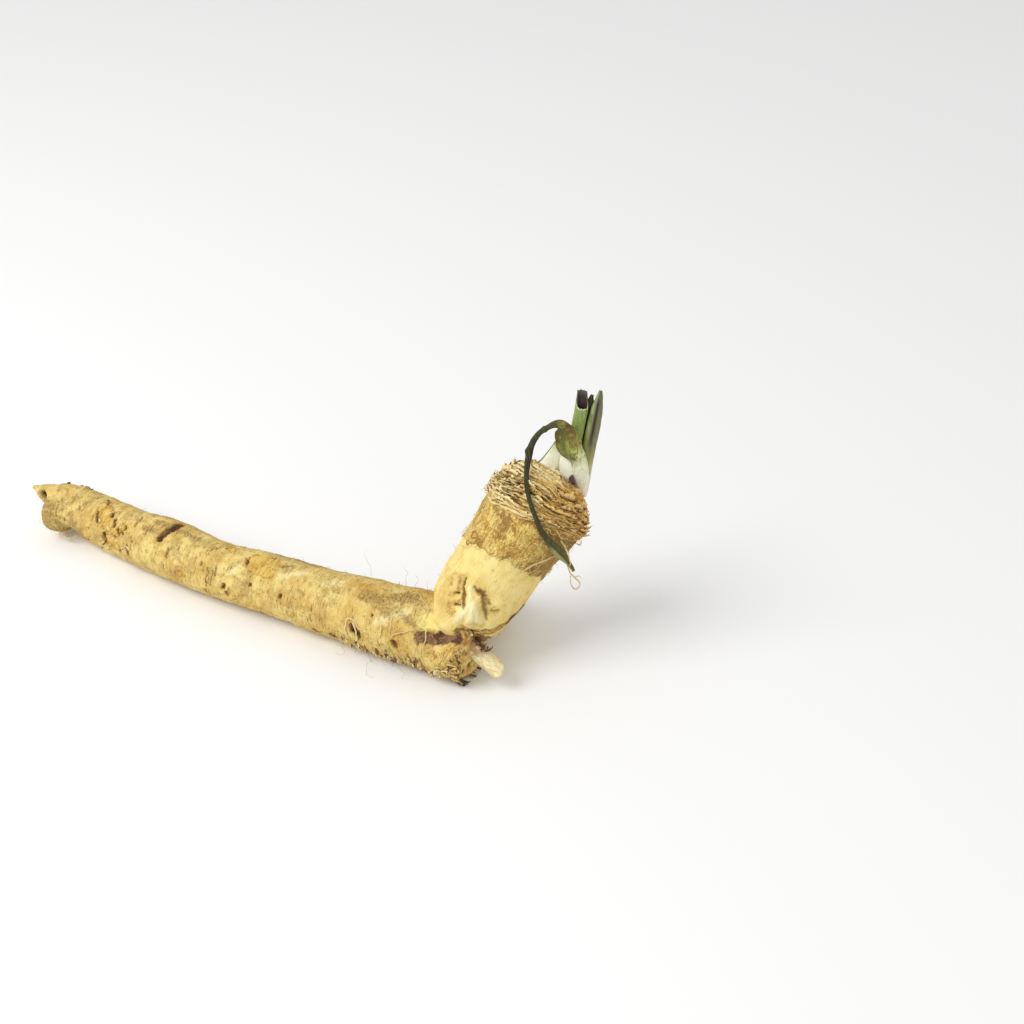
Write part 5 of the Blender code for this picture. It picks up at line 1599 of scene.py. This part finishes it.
# Small leaf feet in the tuft: a white fold between the clasping base and the withered leaf, the dark purple
# bud of a new leaf in the slit beside it, and a thin dark leaf that stands behind the cut stalks.
INNER_FOLD = (
    (0.0030, 0.0040, -0.0090, 0.0012, 0.0010),
    (0.0026, 0.0052, -0.0040, 0.0019, 0.0013),
    (0.0020, 0.0062, 0.0020, 0.0028, 0.0014),
    (0.0014, 0.0066, 0.0070, 0.0032, 0.0014),
    (0.0006, 0.0064, 0.0110, 0.0026, 0.0012),
    (-0.0004, 0.0060, 0.0140, 0.0010, 0.0008),
)
BUD = (
    (0.0040, 0.0040, -0.0090, 0.0018, 0.0014),
    (0.0040, 0.0058, -0.0030, 0.0019, 0.0014),
    (0.0036, 0.0068, 0.0020, 0.0015, 0.0011),
    (0.0034, 0.0068, 0.0052, 0.0006, 0.0005),
)
DARK_LEAF = (
    (0.0070, -0.0040, -0.0110, 0.0026, 0.0010),
    (0.0078, -0.0040, 0.0000, 0.0034, 0.0010),
    (0.0090, -0.0036, 0.0140, 0.0036, 0.0009),
    (0.0108, -0.0034, 0.0260, 0.0032, 0.0008),
    (0.0122, -0.0034, 0.0350, 0.0022, 0.0007),
    (0.0132, -0.0034, 0.0410, 0.0008, 0.0006),
)
FOLD_SIDES, FOLD_ROWS, FOLD_HIGH = 32, 50, 0.55
DARK_ROWS = 60
points, faces = capped(stalk_rings(INNER_FOLD, FOLD_SIDES, FOLD_ROWS)[0])
height = tipped(np.repeat(np.linspace(0, FOLD_HIGH, FOLD_ROWS), FOLD_SIDES), head=FOLD_HIGH)
grown(
    "inner_leaf_fold", points, faces, sheath_finish, "white_leaf_base",
    high=height, across=np.full(len(points), 0.5),
)

bud_finish, start, spot = started("purple_bud")
crumb = spot.mottle(0.0010, 3.0)
colour = start.mixed(crumb.between(0.4, 0.65), (0.075, 0.035, 0.045), (0.17, 0.085, 0.08))
ended(start, colour, 0.6, crumb, 0.0002)
points, faces = capped(stalk_rings(BUD, 20, 24)[0])
grown("leaf_bud", points, faces, bud_finish, "white_leaf_base")

dark_finish, start, spot = started("dark_leaf")
crumb = spot.mottle(0.0010, 3.0)
rib = spot.stretched(1.0, 1.0, 0.09).mottle(0.0008, 2.0)
colour = start.mixed(rib.between(0.42, 0.62), (0.022, 0.020, 0.012), (0.075, 0.070, 0.030))
colour = colour.painted((crumb.between(0.60, 0.70) * 0.5, (0.13, 0.05, 0.02)))
ended(start, colour, 0.6 + crumb * 0.2, rib + crumb, 0.0003, Specular_IOR_Level=0.25)
rings, angles = stalk_rings(DARK_LEAF, 28, DARK_ROWS)
wave = 0.00035 * grain(round_place(angles, 2, np.linspace(0, 9, DARK_ROWS)[:, None]), 81)
points, faces = capped(swollen(rings, wave))
grown("dark_inner_leaf", points, faces, dark_finish, "withered_leaf")

# The table it lies on and the light: a white sweep under wide soft lamps, high and to the left, so that
# the shadows are pale. The camera looks down on the root from its right front.
bpy.ops.mesh.primitive_plane_add(size=6.0)
table = bpy.context.object
table.name = "table"
table_finish, start, spot = started("table_white")
ended(start, (0.90, 0.90, 0.895), 0.9, spot.mottle(0.05), 0.00001)
table.data.materials.append(table_finish)
table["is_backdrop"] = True

world = bpy.data.worlds.new("studio")
bpy.context.scene.world = world
world.use_nodes = True
sky = world.node_tree.nodes["Background"]
sky.inputs["Color"].default_value = (1.0, 1.0, 1.0, 1.0)
sky.inputs["Strength"].default_value = 0.71

LAMP_WIDTH = 1.0
for name, at, power in (("key", (-0.60, -0.95, 1.15), 15.6), ("fill", (0.9, -0.9, 0.9), 1.5)):
    lamp = bpy.data.objects.new(name, bpy.data.lights.new(name, "AREA"))
    lamp.data.size = LAMP_WIDTH
    lamp.data.energy = power
    lamp.location = at
    lamp.rotation_euler = (-Vector(at)).to_track_quat("-Z", "Y").to_euler()
    bpy.context.scene.collection.objects.link(lamp)

CAMERA_AT = Vector((0.462035, -0.630153, 0.569769)) + Vector(SHIFT)
CAMERA_AIM = Vector((-0.035646, 0.13387, 0.0)) + Vector(SHIFT)
camera = bpy.data.objects.new("camera", bpy.data.cameras.new("camera"))
camera.location = CAMERA_AT
camera.rotation_euler = (CAMERA_AIM - CAMERA_AT).to_track_quat("-Z", "Y").to_euler()
camera.data.lens = 70.0
camera.data.sensor_width = 36.0
camera.data.clip_start = 0.01
bpy.context.scene.collection.objects.link(camera)
bpy.context.scene.camera = camera
bpy.context.scene.view_settings.view_transform = "Standard"
